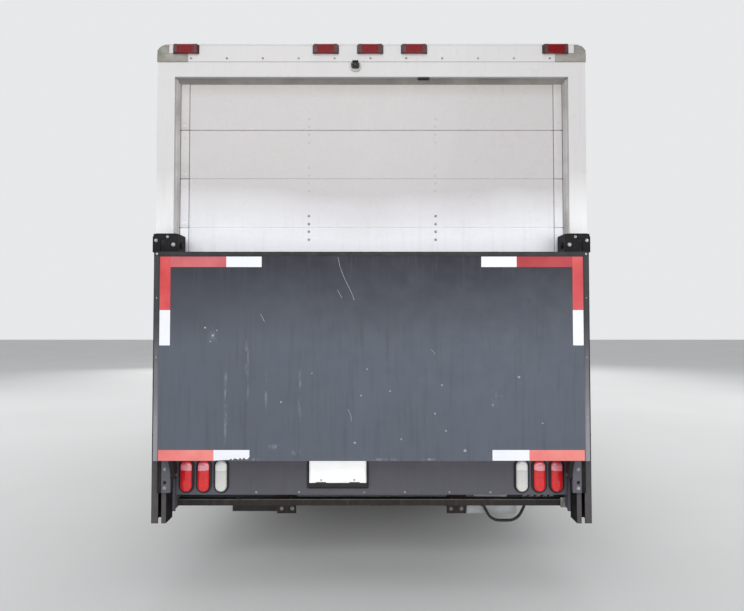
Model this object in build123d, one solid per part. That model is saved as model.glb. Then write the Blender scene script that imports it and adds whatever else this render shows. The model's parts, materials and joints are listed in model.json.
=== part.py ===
from build123d import *
import os
from math import atan2, degrees, dist, sqrt, tan

# A full-size van in its box-bodied form, with a rail lift across its back, in millimetres.
# +X is the vehicle's right, +Y its nose, +Z up; the origin is on the ground under the middle.

# Lengths along the vehicle
BOX_LEN = 4273
REAR_OVERHANG = 1790            # rear frame's back face to the rear axle
CAB_REACH = 1450                # front axle back to the cab's rear wall
CAB_TO_BOX = 80
WHEELBASE = BOX_LEN - REAR_OVERHANG + CAB_TO_BOX + CAB_REACH
FRONT_OVERHANG = 800            # front axle to the bumper's face
LIFT_DEPTH = 200                # rear frame's back face to the stowed platform's outer face
LENGTH = LIFT_DEPTH + REAR_OVERHANG + WHEELBASE + FRONT_OVERHANG
FRAME_Y = LIFT_DEPTH - LENGTH / 2
REAR_AXLE_Y = FRAME_Y + REAR_OVERHANG
FRONT_AXLE_Y = REAR_AXLE_Y + WHEELBASE

# Small clearances
SEAT = 0.3                      # a piece to what carries it
FIT = 0.5                       # a pane or lamp in its opening
GAP = 5                         # a moving piece to what it passes

# Wheels and tyres
TYRE_R = 372
TYRE_W = 223
BEAD_R = 204
BEAD_W = 168
TREAD_W = 186
RIM_W = 190
RIM_WALL = 13
FLANGE_R = 214
TWIN_PITCH = 254
FRONT_TRACK = 1763
REAR_TRACK = 1700               # between the middles of the twin pairs
HUB_R = 62
AXLE_R = 45
SPINDLE_R = 30
DRUM_R = 165
KINGPIN_X = 790
KINGPIN_R = 14

# Ladder frame
RAIL_IN = 360
RAIL_OUT = 432
RAIL_Z = 500
RAIL_TOP = 680
RAIL_WALL = 8
CROSS_Y = [-1250, -850, 780, 1500, 2150, 2780, WHEELBASE + 560]    # cross members, from the rear axle
CROSS_DEPTH = 60
CROSS_Z = 608
CROSS_H = 64

# Cargo box
BOX_W = 2337
BOX_HALF = BOX_W / 2
BOX_WALL = 40
SKIN_STEP = 5                   # the side panels lie this far inside the rails' face
DECK_Z = 840
FLOOR_T = 40
SILL_H = 60
SILL_W = 45
SILL_PITCH = 400
FRAME_DEPTH = 100
POST_W = 94
HEIGHT = 2902
ROOF_CAP = 55                   # the roof above the rear frame's portal
LAMP_RAIL_H = 47                # the header's upper band
HEADER_H = 82                   # the header's lower band
PORTAL_TOP = HEIGHT - ROOF_CAP
HEADER_JOINT_Z = PORTAL_TOP - LAMP_RAIL_H
HEADER_Z = HEADER_JOINT_Z - HEADER_H
ROOF_INSET = 38
ROOF_EDGE = 26
ROOF_CROWN = 4
ROOF_HALF = BOX_W / 2 - ROOF_INSET
JOINT_W = 4                     # the groove between the header's two bands
JOINT_D = 4
BASE_RAIL_H = 110
TOP_RAIL_H = 60
TOP_RAIL_W = 80
BOX_CORNER_R = 38

# Roll-up door
DOOR_RECESS = 40
DOOR_T = 25
DOOR_SEAM_DROP = 283           # the header's lower edge to the first seam
DOOR_PITCH = 270
SEAM_W = 6
SEAM_D = 6

# Lift: rails, runners and platform, depths measured back from the rear frame's face
LIFT_RAIL_OUT = BOX_HALF - 30.5
LIFT_RAIL_IN = LIFT_RAIL_OUT - 74
LIFT_SLOT_X = LIFT_RAIL_OUT - 42
SLOT_W = 18
LIFT_RAIL_D = 100
LIFT_RAIL_WALL = 6
LIFT_RAIL_Z = 337
HOUSING_Z = 1741
HOUSING_TOP = 1838
HOUSING_IN = LIFT_RAIL_OUT - 130
HOUSING_D = 116
RUNNER_Z = 500
RUNNER_TOP = 1360
FOOT_OUT = LIFT_RAIL_OUT - 36
FOOT_IN = FOOT_OUT - 66
FOOT_TOP = 740
FOOT_T = 20
WEB_W = 8
PLATFORM_HALF = LIFT_RAIL_OUT - 43
PLATFORM_Z = 681
PLATFORM_TOP = 1730
PLATFORM_T = 72
PLATFORM_SKIN = 6
PLATFORM_CELLS = 6
PLATFORM_TIP = 120              # the tapered edge that meets the ground
PLATFORM_TIP_T = 16
PIVOT_R = 9
PIVOT_EYE_R = 19
PIVOT_DROP = 91                 # the pivot below the platform's lower edge
PIVOT_Y = FRAME_Y - LIFT_RAIL_D - 2 - FOOT_T / 2
PIVOT_Z = PLATFORM_Z - PIVOT_DROP
LUG_W = 22
LUG_IN = FOOT_IN - 6 - LUG_W
EXTENSION = 108                 # short of the lugs' swept space

# Lamp plate, lamps, number plate and underride bar
SILL_PLATE_Z = 449
SILL_PLATE_Y = 20
SILL_PLATE_T = 8
GUSSET_T = 10
LAMP_XS = [LIFT_RAIL_IN - 69, LIFT_RAIL_IN - 162]
REVERSE_X = LIFT_RAIL_IN - 256
LAMP_Z = 552
LAMP_H = 165
LAMP_W = 60
LAMP_PROUD = 14
MARKER_XS = [154.5 - BOX_HALF, -250, -7, 233, BOX_HALF - 162.5]
MARKER_Z = PORTAL_TOP + 21
MARKER_W = 143
MARKER_H = 46
MARKER_D = 18
CAMERA_X = -88
CAMERA_Z = HEADER_JOINT_Z - 24
CAMERA_R = 31
CAMERA_D = 26
PLATE_X = -181
PLATE_W = 305
PLATE_H = 152
PLATE_Z = 515
HOLDER_W = 328
HOLDER_Z = 486
HOLDER_H = 196
HOLDER_T = 8
PLATE_T = 2
PLATE_PITCH_X = 177.8
PLATE_PITCH_Z = 120.65
PLATE_HOLE_R = 3.5
BAR_Z = 383
BAR_H = 34
BAR_D = 50
BAR_Y = 45
HANGER_Y = 180
HANGER_W = 110
HANGER_T = 12
HANGER_Z = 282

# Cab, along the vehicle from the front axle
CAB_HALF = 1010
CAB_BACK = -CAB_REACH
CAB_Z = 440
CAB_ROOF = 2060
CAB_NOSE = 735
COWL = (37, 1271)
SCREEN_TOP_Y = -652
HOOD_SLOPE = 0.25
BELT_Z = 1180
ROOF_HALF_CAB = CAB_HALF - 125
CAB_SKIN = 40                   # roof, back and hood
CAB_SIDE = 60                   # doors and side walls
NOSE_HALF = CAB_HALF - 55
NOSE_TAPER_Y = 330
CAB_FLOOR_Z = 700
CAB_FLOOR_T = 30
FIREWALL_Y = -60
ARCH_R = 450
ARCH_IN = 550
LINER_T = 8
DOOR_ARCH_R = 510
DOOR_FRONT = -150
DOOR_REAR = CAB_BACK + 160
DOOR_BOTTOM = 520
DOOR_TOP = 1935
DOOR_TOP_Y = -700
DOOR_REAR_GAP = 8
GLASS_T = 6
GLASS_SINK = 5
HOOD_REAR = 70
HOOD_FRONT = 690
HOOD_HALF = CAB_HALF - 210
HOOD_HALF_FRONT = HOOD_HALF - 60
HINGE_R = 7
HINGE_LEN = 50


# Plain shapes
def block(x0, x1, y0, y1, z0, z1):
    size = Box(x1 - x0, y1 - y0, z1 - z0)
    return Pos((x0 + x1) / 2, (y0 + y1) / 2, (z0 + z1) / 2) * size


def outline(points, radii=0):
    if radii == 0:
        return make_face(Polyline(*points, close=True).edges())
    return make_face(FilletPolyline(*points, radius=radii, close=True).edges())


def prism_x(face, x0, x1):
    """A face drawn in (y, z), from x0 to x1."""
    return extrude(Plane.YZ.offset(x0) * face, amount=x1 - x0)


def prism_y(face, y0, y1):
    """A face drawn in (x, z), from y0 to y1."""
    return extrude(Plane.XZ.offset(-y1) * face, amount=y1 - y0)


def prism_z(face, z0, z1):
    """A face drawn in (x, y), from z0 to z1."""
    return extrude(Plane.XY.offset(z0) * face, amount=z1 - z0)


def rod_x(r, x0, x1, y, z):
    return Pos((x0 + x1) / 2, y, z) * Rot(0, 90, 0) * Cylinder(r, x1 - x0)


def rod_y(r, y0, y1, x, z):
    return Pos(x, (y0 + y1) / 2, z) * Rot(90, 0, 0) * Cylinder(r, y1 - y0)


def rod_z(r, z0, z1, x, y):
    return Pos(x, y, (z0 + z1) / 2) * Cylinder(r, z1 - z0)


def turned(points, radii=0):
    """A ring about the X axis, from an outline in (x, radius)."""
    return revolve(Plane.XZ * outline(points, radii), Axis.X)


def other_side(shape):
    return mirror(shape, about=Plane.YZ)


def both_sides(shape):
    return shape + other_side(shape)


def in_halves(points):
    """A right half outline, from the middle bottom up, closed by its mirror image."""
    return points + [(-x, z) for x, z in reversed(points)]


# Ladder frame and running gear
def frame_rails():
    rear = FRAME_Y + SILL_PLATE_Y + SILL_PLATE_T + 60
    front = FRONT_AXLE_Y + CAB_NOSE - 10
    rail = block(RAIL_IN, RAIL_OUT, rear, front, RAIL_Z, RAIL_TOP)
    rail -= block(RAIL_IN - 1, RAIL_OUT - RAIL_WALL, rear - 1, front + 1,
                  RAIL_Z + RAIL_WALL, RAIL_TOP - RAIL_WALL)
    frame = both_sides(rail)
    reach = RAIL_OUT - RAIL_WALL
    for y in CROSS_Y:
        y += REAR_AXLE_Y
        frame += block(-reach, reach, y - CROSS_DEPTH / 2, y + CROSS_DEPTH / 2,
                       CROSS_Z, CROSS_Z + CROSS_H)
    return frame


BEAM_HALF = 34                  # front beam, half its depth along the vehicle
BEAM_Z = 255
BEAM_H = 70
EYE_R = 40
EYE_H = 80


def front_axle():
    """A dropped beam with an eye for each kingpin."""
    y = FRONT_AXLE_Y
    rise = TYRE_R - EYE_H / 2
    half = [(0, BEAM_Z), (520, BEAM_Z), (650, rise), (KINGPIN_X, rise),
            (KINGPIN_X, rise + EYE_H), (630, rise + EYE_H), (490, BEAM_Z + BEAM_H),
            (0, BEAM_Z + BEAM_H)]
    right = prism_y(outline(half), y - BEAM_HALF, y + BEAM_HALF)
    right += rod_z(EYE_R, rise, rise + EYE_H, KINGPIN_X, y)
    right -= rod_z(KINGPIN_R + SEAT, 0, 2 * TYRE_R, KINGPIN_X, y)
    beam = both_sides(right)
    for x in (-1, 1):
        beam += block(x * 400 - 40, x * 400 + 40, y - 50, y + 50, BEAM_Z + BEAM_H - 10,
                      RAIL_Z - 60)
    return beam


def rear_axle():
    y = REAR_AXLE_Y
    tube_end = REAR_TRACK / 2 - TWIN_PITCH / 2 - RIM_W / 2 + 20
    axle = rod_x(60, -tube_end, tube_end, y, TYRE_R)
    axle += rod_x(AXLE_R - SEAT, -REAR_TRACK / 2 - 60, REAR_TRACK / 2 + 60, y, TYRE_R)
    axle += Pos(0, y, TYRE_R) * Rot(0, 90, 0) * Cylinder(165, 200)
    axle += Pos(0, y, TYRE_R) * Rot(0, 90, 0) * Cone(165, 80, 160,
                                                    align=(Align.CENTER, Align.CENTER, Align.MIN))
    axle += rod_y(75, y, y + 260, 0, TYRE_R)
    for x in (-1, 1):
        axle += rod_x(150, min(x * tube_end, x * (tube_end - 12)),
                      max(x * tube_end, x * (tube_end - 12)), y, TYRE_R)
    return axle


LEAF_X = 490
LEAF_W = 64
LEAF_HALF = 640
LEAF_RISE = 95
LEAF_T = 34


def springs():
    """Rear leaf packs with their hangers, and a coil column over each end of the front beam."""
    seat_z = TYRE_R + 60 + SEAT
    pack = outline([(-LEAF_HALF, seat_z + LEAF_RISE), (-230, seat_z + 14), (-90, seat_z),
                    (90, seat_z), (230, seat_z + 14), (LEAF_HALF, seat_z + LEAF_RISE),
                    (LEAF_HALF, seat_z + LEAF_RISE + 14), (220, seat_z + LEAF_T + 12),
                    (90, seat_z + LEAF_T), (-90, seat_z + LEAF_T),
                    (-220, seat_z + LEAF_T + 12), (-LEAF_HALF, seat_z + LEAF_RISE + 14)])
    rear = Pos(0, REAR_AXLE_Y, 0) * prism_x(pack, LEAF_X, LEAF_X + LEAF_W)
    for end in (-LEAF_HALF, LEAF_HALF):
        y = REAR_AXLE_Y + end
        rear += rod_x(20, RAIL_OUT + SEAT, LEAF_X + LEAF_W, y, seat_z + LEAF_RISE + 8)
        rear += block(RAIL_OUT + SEAT, LEAF_X + LEAF_W, y - 25, y + 25,
                      seat_z + LEAF_RISE + 8, RAIL_Z + 110)
    front = rod_z(48, RAIL_Z - 60 + SEAT, RAIL_Z - SEAT, 400, FRONT_AXLE_Y)
    return both_sides(rear) + both_sides(front)


GEARBOX_FRONT = -480            # from the front axle, behind the engine
GEARBOX_LEN = 620
GEARBOX_R = 150
GEARBOX_Z = 560
SHAFT_R = 42


def driveline():
    y0 = FRONT_AXLE_Y + GEARBOX_FRONT - GEARBOX_LEN
    box = Pos(0, y0 + GEARBOX_LEN / 2, GEARBOX_Z) * Rot(90, 0, 0) * Cone(GEARBOX_R, 80, GEARBOX_LEN - 1)
    end = REAR_AXLE_Y + 260 + SEAT
    shaft_len = y0 - end
    drop = GEARBOX_Z - TYRE_R
    shaft = Cylinder(SHAFT_R, sqrt(shaft_len ** 2 + drop ** 2) - 20)
    tilt = degrees(atan2(drop, shaft_len))
    shaft = Pos(0, (y0 + end) / 2, (GEARBOX_Z + TYRE_R) / 2) * Rot(90 + tilt, 0, 0) * shaft
    joints = rod_y(55, end, end + 60, 0, TYRE_R) + rod_y(55, y0 - 60, y0 + 20, 0, GEARBOX_Z)
    return box + shaft + joints


ENGINE = (260, -480, 220, 480, 1060)        # half width, back, front, bottom, top


def engine_block():
    half, back, front, bottom, top = ENGINE
    y = FRONT_AXLE_Y
    block_ = block(-half, half, y + back, y + front, bottom, top)
    mounts = block(half, RAIL_IN + RAIL_WALL, y - 60, y + 60, 560, 640)
    return block_ + both_sides(mounts)


TANK = (450, BOX_HALF - 338.5, 900, 1650, 380, 660)     # x inner, outer, y from the rear axle, z


def fuel_tank():
    x0, x1, y0, y1, z0, z1 = TANK
    tank = prism_y(outline([(-x1, z0), (-x0, z0), (-x0, z1), (-x1, z1)], 45),
                   REAR_AXLE_Y + y0, REAR_AXLE_Y + y1)
    for y in (y0 + 150, y1 - 150):
        y += REAR_AXLE_Y
        tank += block(-x1 - 4, -RAIL_OUT, y - 20, y + 20, z1 - 20, z1 + 12)
    return tank


PIPE_X = 520
PIPE_Z = 430
PIPE_R = 32


def exhaust():
    front = FRONT_AXLE_Y - 520
    rear = REAR_AXLE_Y + 640
    path = FilletPolyline((PIPE_X, front, PIPE_Z), (PIPE_X, rear, PIPE_Z),
                          (PIPE_X + 520, rear - 140, PIPE_Z - 20), radius=120)
    pipe = sweep(Plane(origin=path @ 0, z_dir=path % 0) * Circle(PIPE_R), path=path)
    pipe += rod_y(95, front - 1250, front - 650, PIPE_X, PIPE_Z)
    for y in (front - 700, front - 1200, front - 120):
        pipe += block(RAIL_OUT, PIPE_X, y - 12, y + 12, PIPE_Z + 60, RAIL_Z + 40)
        pipe += block(PIPE_X - 12, PIPE_X + 12, y - 12, y + 12, PIPE_Z, RAIL_Z + 40)
    return pipe


# Wheels, drawn about the X axis with the outer side at +x, then put in place
def tyre(centre):
    half = TYRE_W / 2
    section = [(-BEAD_W / 2, BEAD_R), (BEAD_W / 2, BEAD_R), (half, (BEAD_R + TYRE_R) / 2),
               (TREAD_W / 2 + 8, TYRE_R - 8), (TREAD_W / 2 - 14, TYRE_R),
               (-TREAD_W / 2 + 14, TYRE_R), (-TREAD_W / 2 - 8, TYRE_R - 8),
               (-half, (BEAD_R + TYRE_R) / 2)]
    return Pos(centre, 0, 0) * turned(section, [6, 6, 60, 12, 18, 18, 12, 60])


def barrel(centre):
    outer = BEAD_R - SEAT
    half = RIM_W / 2
    ring = turned([(-half, outer - RIM_WALL), (half, outer - RIM_WALL), (half, FLANGE_R),
                   (half - 5, FLANGE_R), (half - 5, outer), (5 - half, outer),
                   (5 - half, FLANGE_R), (-half, FLANGE_R)])
    return Pos(centre, 0, 0) * ring


HAND_HOLES = 8
HAND_HOLE_R = 22
HAND_HOLE_PCD = 270
DISC_T = 9
MOUNT_R = 105


def wheel_disc(face, edge):
    """A dished disc from its flat middle at x = face to its barrel at x = edge."""
    reach = BEAD_R - SEAT - RIM_WALL + 1
    disc = turned([(face, 40), (face + DISC_T, 40), (face + DISC_T, MOUNT_R),
                   (edge + DISC_T, reach), (edge, reach), (face, MOUNT_R)])
    for step in range(HAND_HOLES):
        turn = Rot(360 / HAND_HOLES * step, 0, 0)
        mid = (face + edge) / 2
        disc -= turn * rod_x(HAND_HOLE_R, mid - 60, mid + 60, 0, HAND_HOLE_PCD / 2 + 14)
    return disc


FRONT_FACE = 118                # front wheel's mounting face, out from its middle
HUB_CAP = 30


def front_tyre(side):
    wheel = tyre(FRONT_TRACK / 2)
    return place(wheel, side, FRONT_AXLE_Y)


def place(wheel, side, y):
    wheel = Pos(0, y, TYRE_R) * wheel
    return wheel if side > 0 else other_side(wheel)


ROTOR_IN = 895
ROTOR_T = 26
ROTOR_R = 160


def front_rim(side):
    mid = FRONT_TRACK / 2
    face = mid + FRONT_FACE
    wheel = barrel(mid) + wheel_disc(face, mid + RIM_W / 2 - 30)
    wheel += rod_x(HUB_R, ROTOR_IN, face + HUB_CAP, 0, 0)
    wheel += rod_x(ROTOR_R, ROTOR_IN, ROTOR_IN + ROTOR_T, 0, 0)
    wheel -= rod_x(SPINDLE_R + SEAT, ROTOR_IN - 1, face + 1, 0, 0)
    return place(wheel, side, FRONT_AXLE_Y)


def rear_tyres(side):
    mid = REAR_TRACK / 2
    pair = tyre(mid - TWIN_PITCH / 2) + tyre(mid + TWIN_PITCH / 2)
    return place(pair, side, REAR_AXLE_Y)


def rear_rims(side):
    mid = REAR_TRACK / 2
    inner = mid - TWIN_PITCH / 2
    outer = mid + TWIN_PITCH / 2
    wheel = barrel(inner) + barrel(outer)
    wheel += wheel_disc(mid - DISC_T, inner + RIM_W / 2 - 30)
    wheel += Pos(mid, 0, 0) * wheel_disc(0, TWIN_PITCH / 2 - RIM_W / 2 + 30)
    wheel += rod_x(HUB_R + 8, mid - 150, mid + 105, 0, 0)
    wheel += rod_x(DRUM_R, mid - 30, mid - DISC_T, 0, 0)
    cup = turned([(mid - 175, DRUM_R - 14), (mid - 175, DRUM_R), (mid - 20, DRUM_R),
                  (mid - 20, DRUM_R - 14)])
    wheel += cup
    wheel -= rod_x(AXLE_R, mid - 200, mid + 70, 0, 0)
    return place(wheel, side, REAR_AXLE_Y)


# Steering
ARM_LEN = 110                   # kingpin to the tie rod's stud
ARM_Z = 296
ARM_H = 18
FORK_IN = 48


def knuckle(side):
    y = FRONT_AXLE_Y
    rise = TYRE_R - EYE_H / 2
    x = KINGPIN_X
    body = block(x + FORK_IN, x + FORK_IN + 32, y - 55, y + 55, rise - 34, rise + EYE_H + 34)
    for z0 in (rise - 34, rise + EYE_H + SEAT):
        body += block(x, x + FORK_IN + 5, y - 38, y + 38, z0, z0 + 34 - SEAT)
        body += rod_z(38, z0, z0 + 34 - SEAT, x, y)
    body += rod_z(KINGPIN_R, rise - 34, rise + EYE_H + 34, x, y)
    body += rod_x(SPINDLE_R, x + FORK_IN, FRONT_TRACK / 2 + FRONT_FACE - 4, y, TYRE_R)
    body += block(x - 16, x + 16, y - ARM_LEN, y, ARM_Z + SEAT, ARM_Z + ARM_H)
    body += rod_z(20, ARM_Z + SEAT, ARM_Z + ARM_H, x, y - ARM_LEN)
    return body if side > 0 else other_side(body)


def tie_rod():
    y = FRONT_AXLE_Y - ARM_LEN
    z = ARM_Z - 16
    rod = rod_x(13, -KINGPIN_X, KINGPIN_X, y, z)
    for x in (-KINGPIN_X, KINGPIN_X):
        rod += rod_z(22, ARM_Z - 32, ARM_Z - SEAT, x, y)
    return rod


# Cargo box
BOX_FRONT_Y = FRAME_Y + BOX_LEN
FLOOR_Z = DECK_Z - FLOOR_T
BOX_BOTTOM = FLOOR_Z - SILL_H
TYRE_ZONE = TYRE_R + 40


def box_floor():
    back = FRAME_Y + FRAME_DEPTH
    front = BOX_FRONT_Y - BOX_WALL
    half = BOX_HALF - BOX_WALL
    floor = block(-half, half, back, front, FLOOR_Z, DECK_Z)
    count = int((front - back) // SILL_PITCH)
    for step in range(count + 1):
        y = back + SILL_W + step * SILL_PITCH
        over_tyres = abs(y - REAR_AXLE_Y) < TYRE_ZONE
        reach = LEAF_X + LEAF_W + 30 if over_tyres else half
        floor += block(-reach, reach, y - SILL_W / 2, y + SILL_W / 2, BOX_BOTTOM, FLOOR_Z)
    runner = block(RAIL_IN, RAIL_OUT, back, front, RAIL_TOP, BOX_BOTTOM + 1)
    return floor + both_sides(runner)


def box_side(side):
    back = FRAME_Y + FRAME_DEPTH
    front = BOX_FRONT_Y - BOX_WALL
    face = BOX_HALF
    inside = BOX_HALF - BOX_WALL
    section = [(inside, BOX_BOTTOM), (face, BOX_BOTTOM), (face, BOX_BOTTOM + BASE_RAIL_H),
               (face - SKIN_STEP, BOX_BOTTOM + BASE_RAIL_H + SKIN_STEP),
               (face - SKIN_STEP, PORTAL_TOP - TOP_RAIL_H - SKIN_STEP),
               (face, PORTAL_TOP - TOP_RAIL_H), (face, PORTAL_TOP),
               (face - TOP_RAIL_W, PORTAL_TOP), (face - TOP_RAIL_W, PORTAL_TOP - TOP_RAIL_H),
               (inside, PORTAL_TOP - TOP_RAIL_H)]
    wall = prism_y(outline(section), back, front)
    return wall if side > 0 else other_side(wall)


def box_front_wall():
    y0, y1 = BOX_FRONT_Y - BOX_WALL, BOX_FRONT_Y
    h = BOX_HALF
    plan = outline([(-h, y0), (h, y0), (h, y1), (-h, y1)], [0.0, 0.0, BOX_CORNER_R, BOX_CORNER_R])
    return prism_z(plan, BOX_BOTTOM, PORTAL_TOP)


def box_roof():
    h = ROOF_HALF
    half = [(h, PORTAL_TOP), (h, HEIGHT - ROOF_EDGE), (h - ROOF_EDGE, HEIGHT - ROOF_CROWN)]
    section = half + [(0, HEIGHT)] + [(-x, z) for x, z in reversed(half)]
    return prism_y(outline(section), FRAME_Y + FRAME_DEPTH, BOX_FRONT_Y)


def rear_frame():
    y0, y1 = FRAME_Y, FRAME_Y + FRAME_DEPTH
    portal = block(-BOX_HALF, BOX_HALF, y0, y1, BOX_BOTTOM, PORTAL_TOP)
    inside = BOX_HALF - POST_W
    portal -= block(-inside, inside, y0 - 1, y1 + 1, DECK_Z, HEADER_Z)
    portal += block(-ROOF_HALF, ROOF_HALF, y0, y1, PORTAL_TOP - 1, HEIGHT)
    portal -= block(-BOX_HALF - 1, BOX_HALF + 1, y0 - 1, y0 + JOINT_D, HEADER_JOINT_Z - JOINT_W / 2,
                    HEADER_JOINT_Z + JOINT_W / 2)
    deck = LUG_IN - 2 * GAP
    portal += block(-deck, deck, y0 - EXTENSION, y0 + 1, FLOOR_Z, DECK_Z)
    for x in (-1, 1):
        portal += prism_x(outline([(y0 + 1, BOX_BOTTOM), (y0 + 1, FLOOR_Z + 1),
                                   (y0 - EXTENSION + 10, FLOOR_Z + 1)]), x * 600 - 5, x * 600 + 5)
    return portal


def roll_door():
    """The curtain, with a groove at each seam, and its latch."""
    half = BOX_HALF - POST_W - FIT
    y0 = FRAME_Y + DOOR_RECESS
    door = block(-half, half, y0, y0 + DOOR_T, DECK_Z + FIT, HEADER_Z - FIT)
    z = HEADER_Z - DOOR_SEAM_DROP
    while z > DECK_Z + DOOR_PITCH / 2:
        door -= block(-half - 1, half + 1, y0 - 1, y0 + SEAM_D, z - SEAM_W / 2, z + SEAM_W / 2)
        z -= DOOR_PITCH
    door += block(-70, 70, y0 - 12, y0 + 1, DECK_Z + 40, DECK_Z + 120)
    door += rod_x(7, -55, 55, y0 - 22, DECK_Z + 80)
    for x in (-1, 1):
        door += block(x * 50 - 6, x * 50 + 6, y0 - 26, y0 - 5, DECK_Z + 72, DECK_Z + 88)
    return door


# Lamps and plates on the back
def marker_lamp(x, y, facing):
    face = outline([(-MARKER_W / 2, 0), (MARKER_W / 2, 0), (MARKER_W / 2 - 10, MARKER_D),
                    (10 - MARKER_W / 2, MARKER_D)])
    lamp = prism_z(face, MARKER_Z - MARKER_H / 2, MARKER_Z + MARKER_H / 2)
    return Pos(x, y, 0) * (Rot(0, 0, 180) * lamp if facing < 0 else lamp)


def red_marker_lamps():
    lamps = [marker_lamp(x, FRAME_Y, -1) for x in MARKER_XS]
    return Compound(children=lamps)


def amber_marker_lamps():
    lamps = [marker_lamp(x, BOX_FRONT_Y, 1) for x in MARKER_XS]
    return Compound(children=lamps)


def oval(x, grow, y0, y1):
    slot = Rot(0, 0, 90) * SlotOverall(LAMP_H + 2 * grow, LAMP_W + 2 * grow)
    return prism_y(Pos(x, LAMP_Z) * slot, y0, y1)


LAMP_BACK = 30


def lamp_row(xs):
    y = FRAME_Y + SILL_PLATE_Y
    lamps = [oval(side * x, 0, y - LAMP_PROUD, y + LAMP_BACK) for x in xs for side in (-1, 1)]
    return Compound(children=lamps)


def tail_lamps():
    return lamp_row(LAMP_XS)


def reverse_lamps():
    return lamp_row([REVERSE_X])


def plate_holes(y0, y1):
    middle = PLATE_Z + PLATE_H / 2
    holes = [rod_y(PLATE_HOLE_R, y0, y1, PLATE_X + dx * PLATE_PITCH_X / 2,
                   middle + dz * PLATE_PITCH_Z / 2) for dx in (-1, 1) for dz in (-1, 1)]
    return Compound(children=holes)


def number_plate():
    """The holder with the blank plate on it, drilled for the plate's four screws."""
    y = FRAME_Y + SILL_PLATE_Y
    plate = block(PLATE_X - HOLDER_W / 2, PLATE_X + HOLDER_W / 2, y - HOLDER_T, y,
                  HOLDER_Z, HOLDER_Z + HOLDER_H)
    plate += block(PLATE_X - PLATE_W / 2, PLATE_X + PLATE_W / 2, y - HOLDER_T - PLATE_T,
                   y - HOLDER_T + 1, PLATE_Z, PLATE_Z + PLATE_H)
    return plate - plate_holes(y - 30, y + 1)


def rear_camera():
    body = rod_y(CAMERA_R, FRAME_Y - 8, FRAME_Y, CAMERA_X, CAMERA_Z)
    body += block(CAMERA_X - 16, CAMERA_X + 16, FRAME_Y - CAMERA_D, FRAME_Y - 7,
                  CAMERA_Z - 16, CAMERA_Z + 16)
    return body


def rear_sill():
    """The plate under the frame that carries the lamps, with a gusset behind each lift rail."""
    y = FRAME_Y + SILL_PLATE_Y
    half = LIFT_RAIL_IN - 3 - GUSSET_T
    plate = block(-half - 1, half + 1, y, y + SILL_PLATE_T, SILL_PLATE_Z, BOX_BOTTOM)
    plate += block(-half - 1, half + 1, y, y + 60, SILL_PLATE_Z, SILL_PLATE_Z + SILL_PLATE_T)
    for x in LAMP_XS + [REVERSE_X]:
        for side in (-1, 1):
            plate -= oval(side * x, FIT, y - 1, y + SILL_PLATE_T + 1)
    plate -= plate_holes(y - 1, y + SILL_PLATE_T + 1)
    gusset = block(half, half + GUSSET_T, FRAME_Y, FRAME_Y + 120, BAR_Z - 6, BOX_BOTTOM)
    gusset += block(half, LIFT_RAIL_OUT, FRAME_Y, FRAME_Y + 12, LIFT_RAIL_Z + 30, BOX_BOTTOM)
    stay = block(RAIL_IN, RAIL_OUT, y + SILL_PLATE_T - 1, FRAME_Y + SILL_PLATE_Y
                 + SILL_PLATE_T + 60, RAIL_Z, RAIL_TOP)
    return plate + both_sides(gusset) + both_sides(stay)


def underride_bar():
    half = LIFT_RAIL_IN - 3 - GUSSET_T
    y = FRAME_Y + BAR_Y
    bar = block(-half, half, y, y + BAR_D, BAR_Z, BAR_Z + BAR_H)
    bar -= block(-half + 8, half - 8, y + 6, y + BAR_D + 1, BAR_Z + 6, BAR_Z + BAR_H - 6)
    hanger = block(RAIL_OUT, RAIL_OUT + HANGER_W, y + HANGER_Y, y + HANGER_Y + HANGER_T,
                   HANGER_Z, RAIL_TOP - 20)
    hanger += prism_x(outline([(y + 2, BAR_Z + 6), (y + 2, BAR_Z + BAR_H - 6),
                               (y + HANGER_Y + 8, RAIL_Z + 60), (y + HANGER_Y + 8, RAIL_Z)]),
                      RAIL_OUT, RAIL_OUT + 10)
    return bar + both_sides(hanger)


# Lift
def lift_rails():
    y1 = FRAME_Y
    y0 = FRAME_Y - LIFT_RAIL_D
    w = LIFT_RAIL_WALL
    rail = block(LIFT_RAIL_IN, LIFT_RAIL_OUT, y0, y1, LIFT_RAIL_Z, HOUSING_Z + 1)
    rail -= block(LIFT_RAIL_IN + w, LIFT_RAIL_OUT - w, y0 + w, y1 - w, LIFT_RAIL_Z - 1,
                  HOUSING_Z + 2)
    rail -= block(LIFT_SLOT_X - SLOT_W / 2, LIFT_SLOT_X + SLOT_W / 2, y0 - 1, y0 + w + 1,
                  LIFT_RAIL_Z - 1, HOUSING_Z)
    rail += block(HOUSING_IN, LIFT_RAIL_OUT, FRAME_Y - HOUSING_D, y1, HOUSING_Z, HOUSING_TOP)
    return both_sides(rail)


def lift_runners():
    w = LIFT_RAIL_WALL
    back = FRAME_Y - LIFT_RAIL_D
    slide = block(LIFT_RAIL_IN + w + GAP, LIFT_RAIL_OUT - w - GAP, back + w + SEAT,
                  FRAME_Y - w - SEAT, RUNNER_Z, RUNNER_TOP)
    slide += block(LIFT_SLOT_X - WEB_W / 2, LIFT_SLOT_X + WEB_W / 2, back - 3, back + w + 1,
                   RUNNER_Z, FOOT_TOP)
    slide += block(FOOT_IN, FOOT_OUT, back - 2 - FOOT_T, back - 2, RUNNER_Z, FOOT_TOP)
    slide -= rod_y(9, back - 30, back - 1, FOOT_IN + 28, RUNNER_Z + 52)
    slide += rod_x(PIVOT_R, LUG_IN - 4, FOOT_IN + 5, PIVOT_Y, PIVOT_Z)
    return both_sides(slide)


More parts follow.
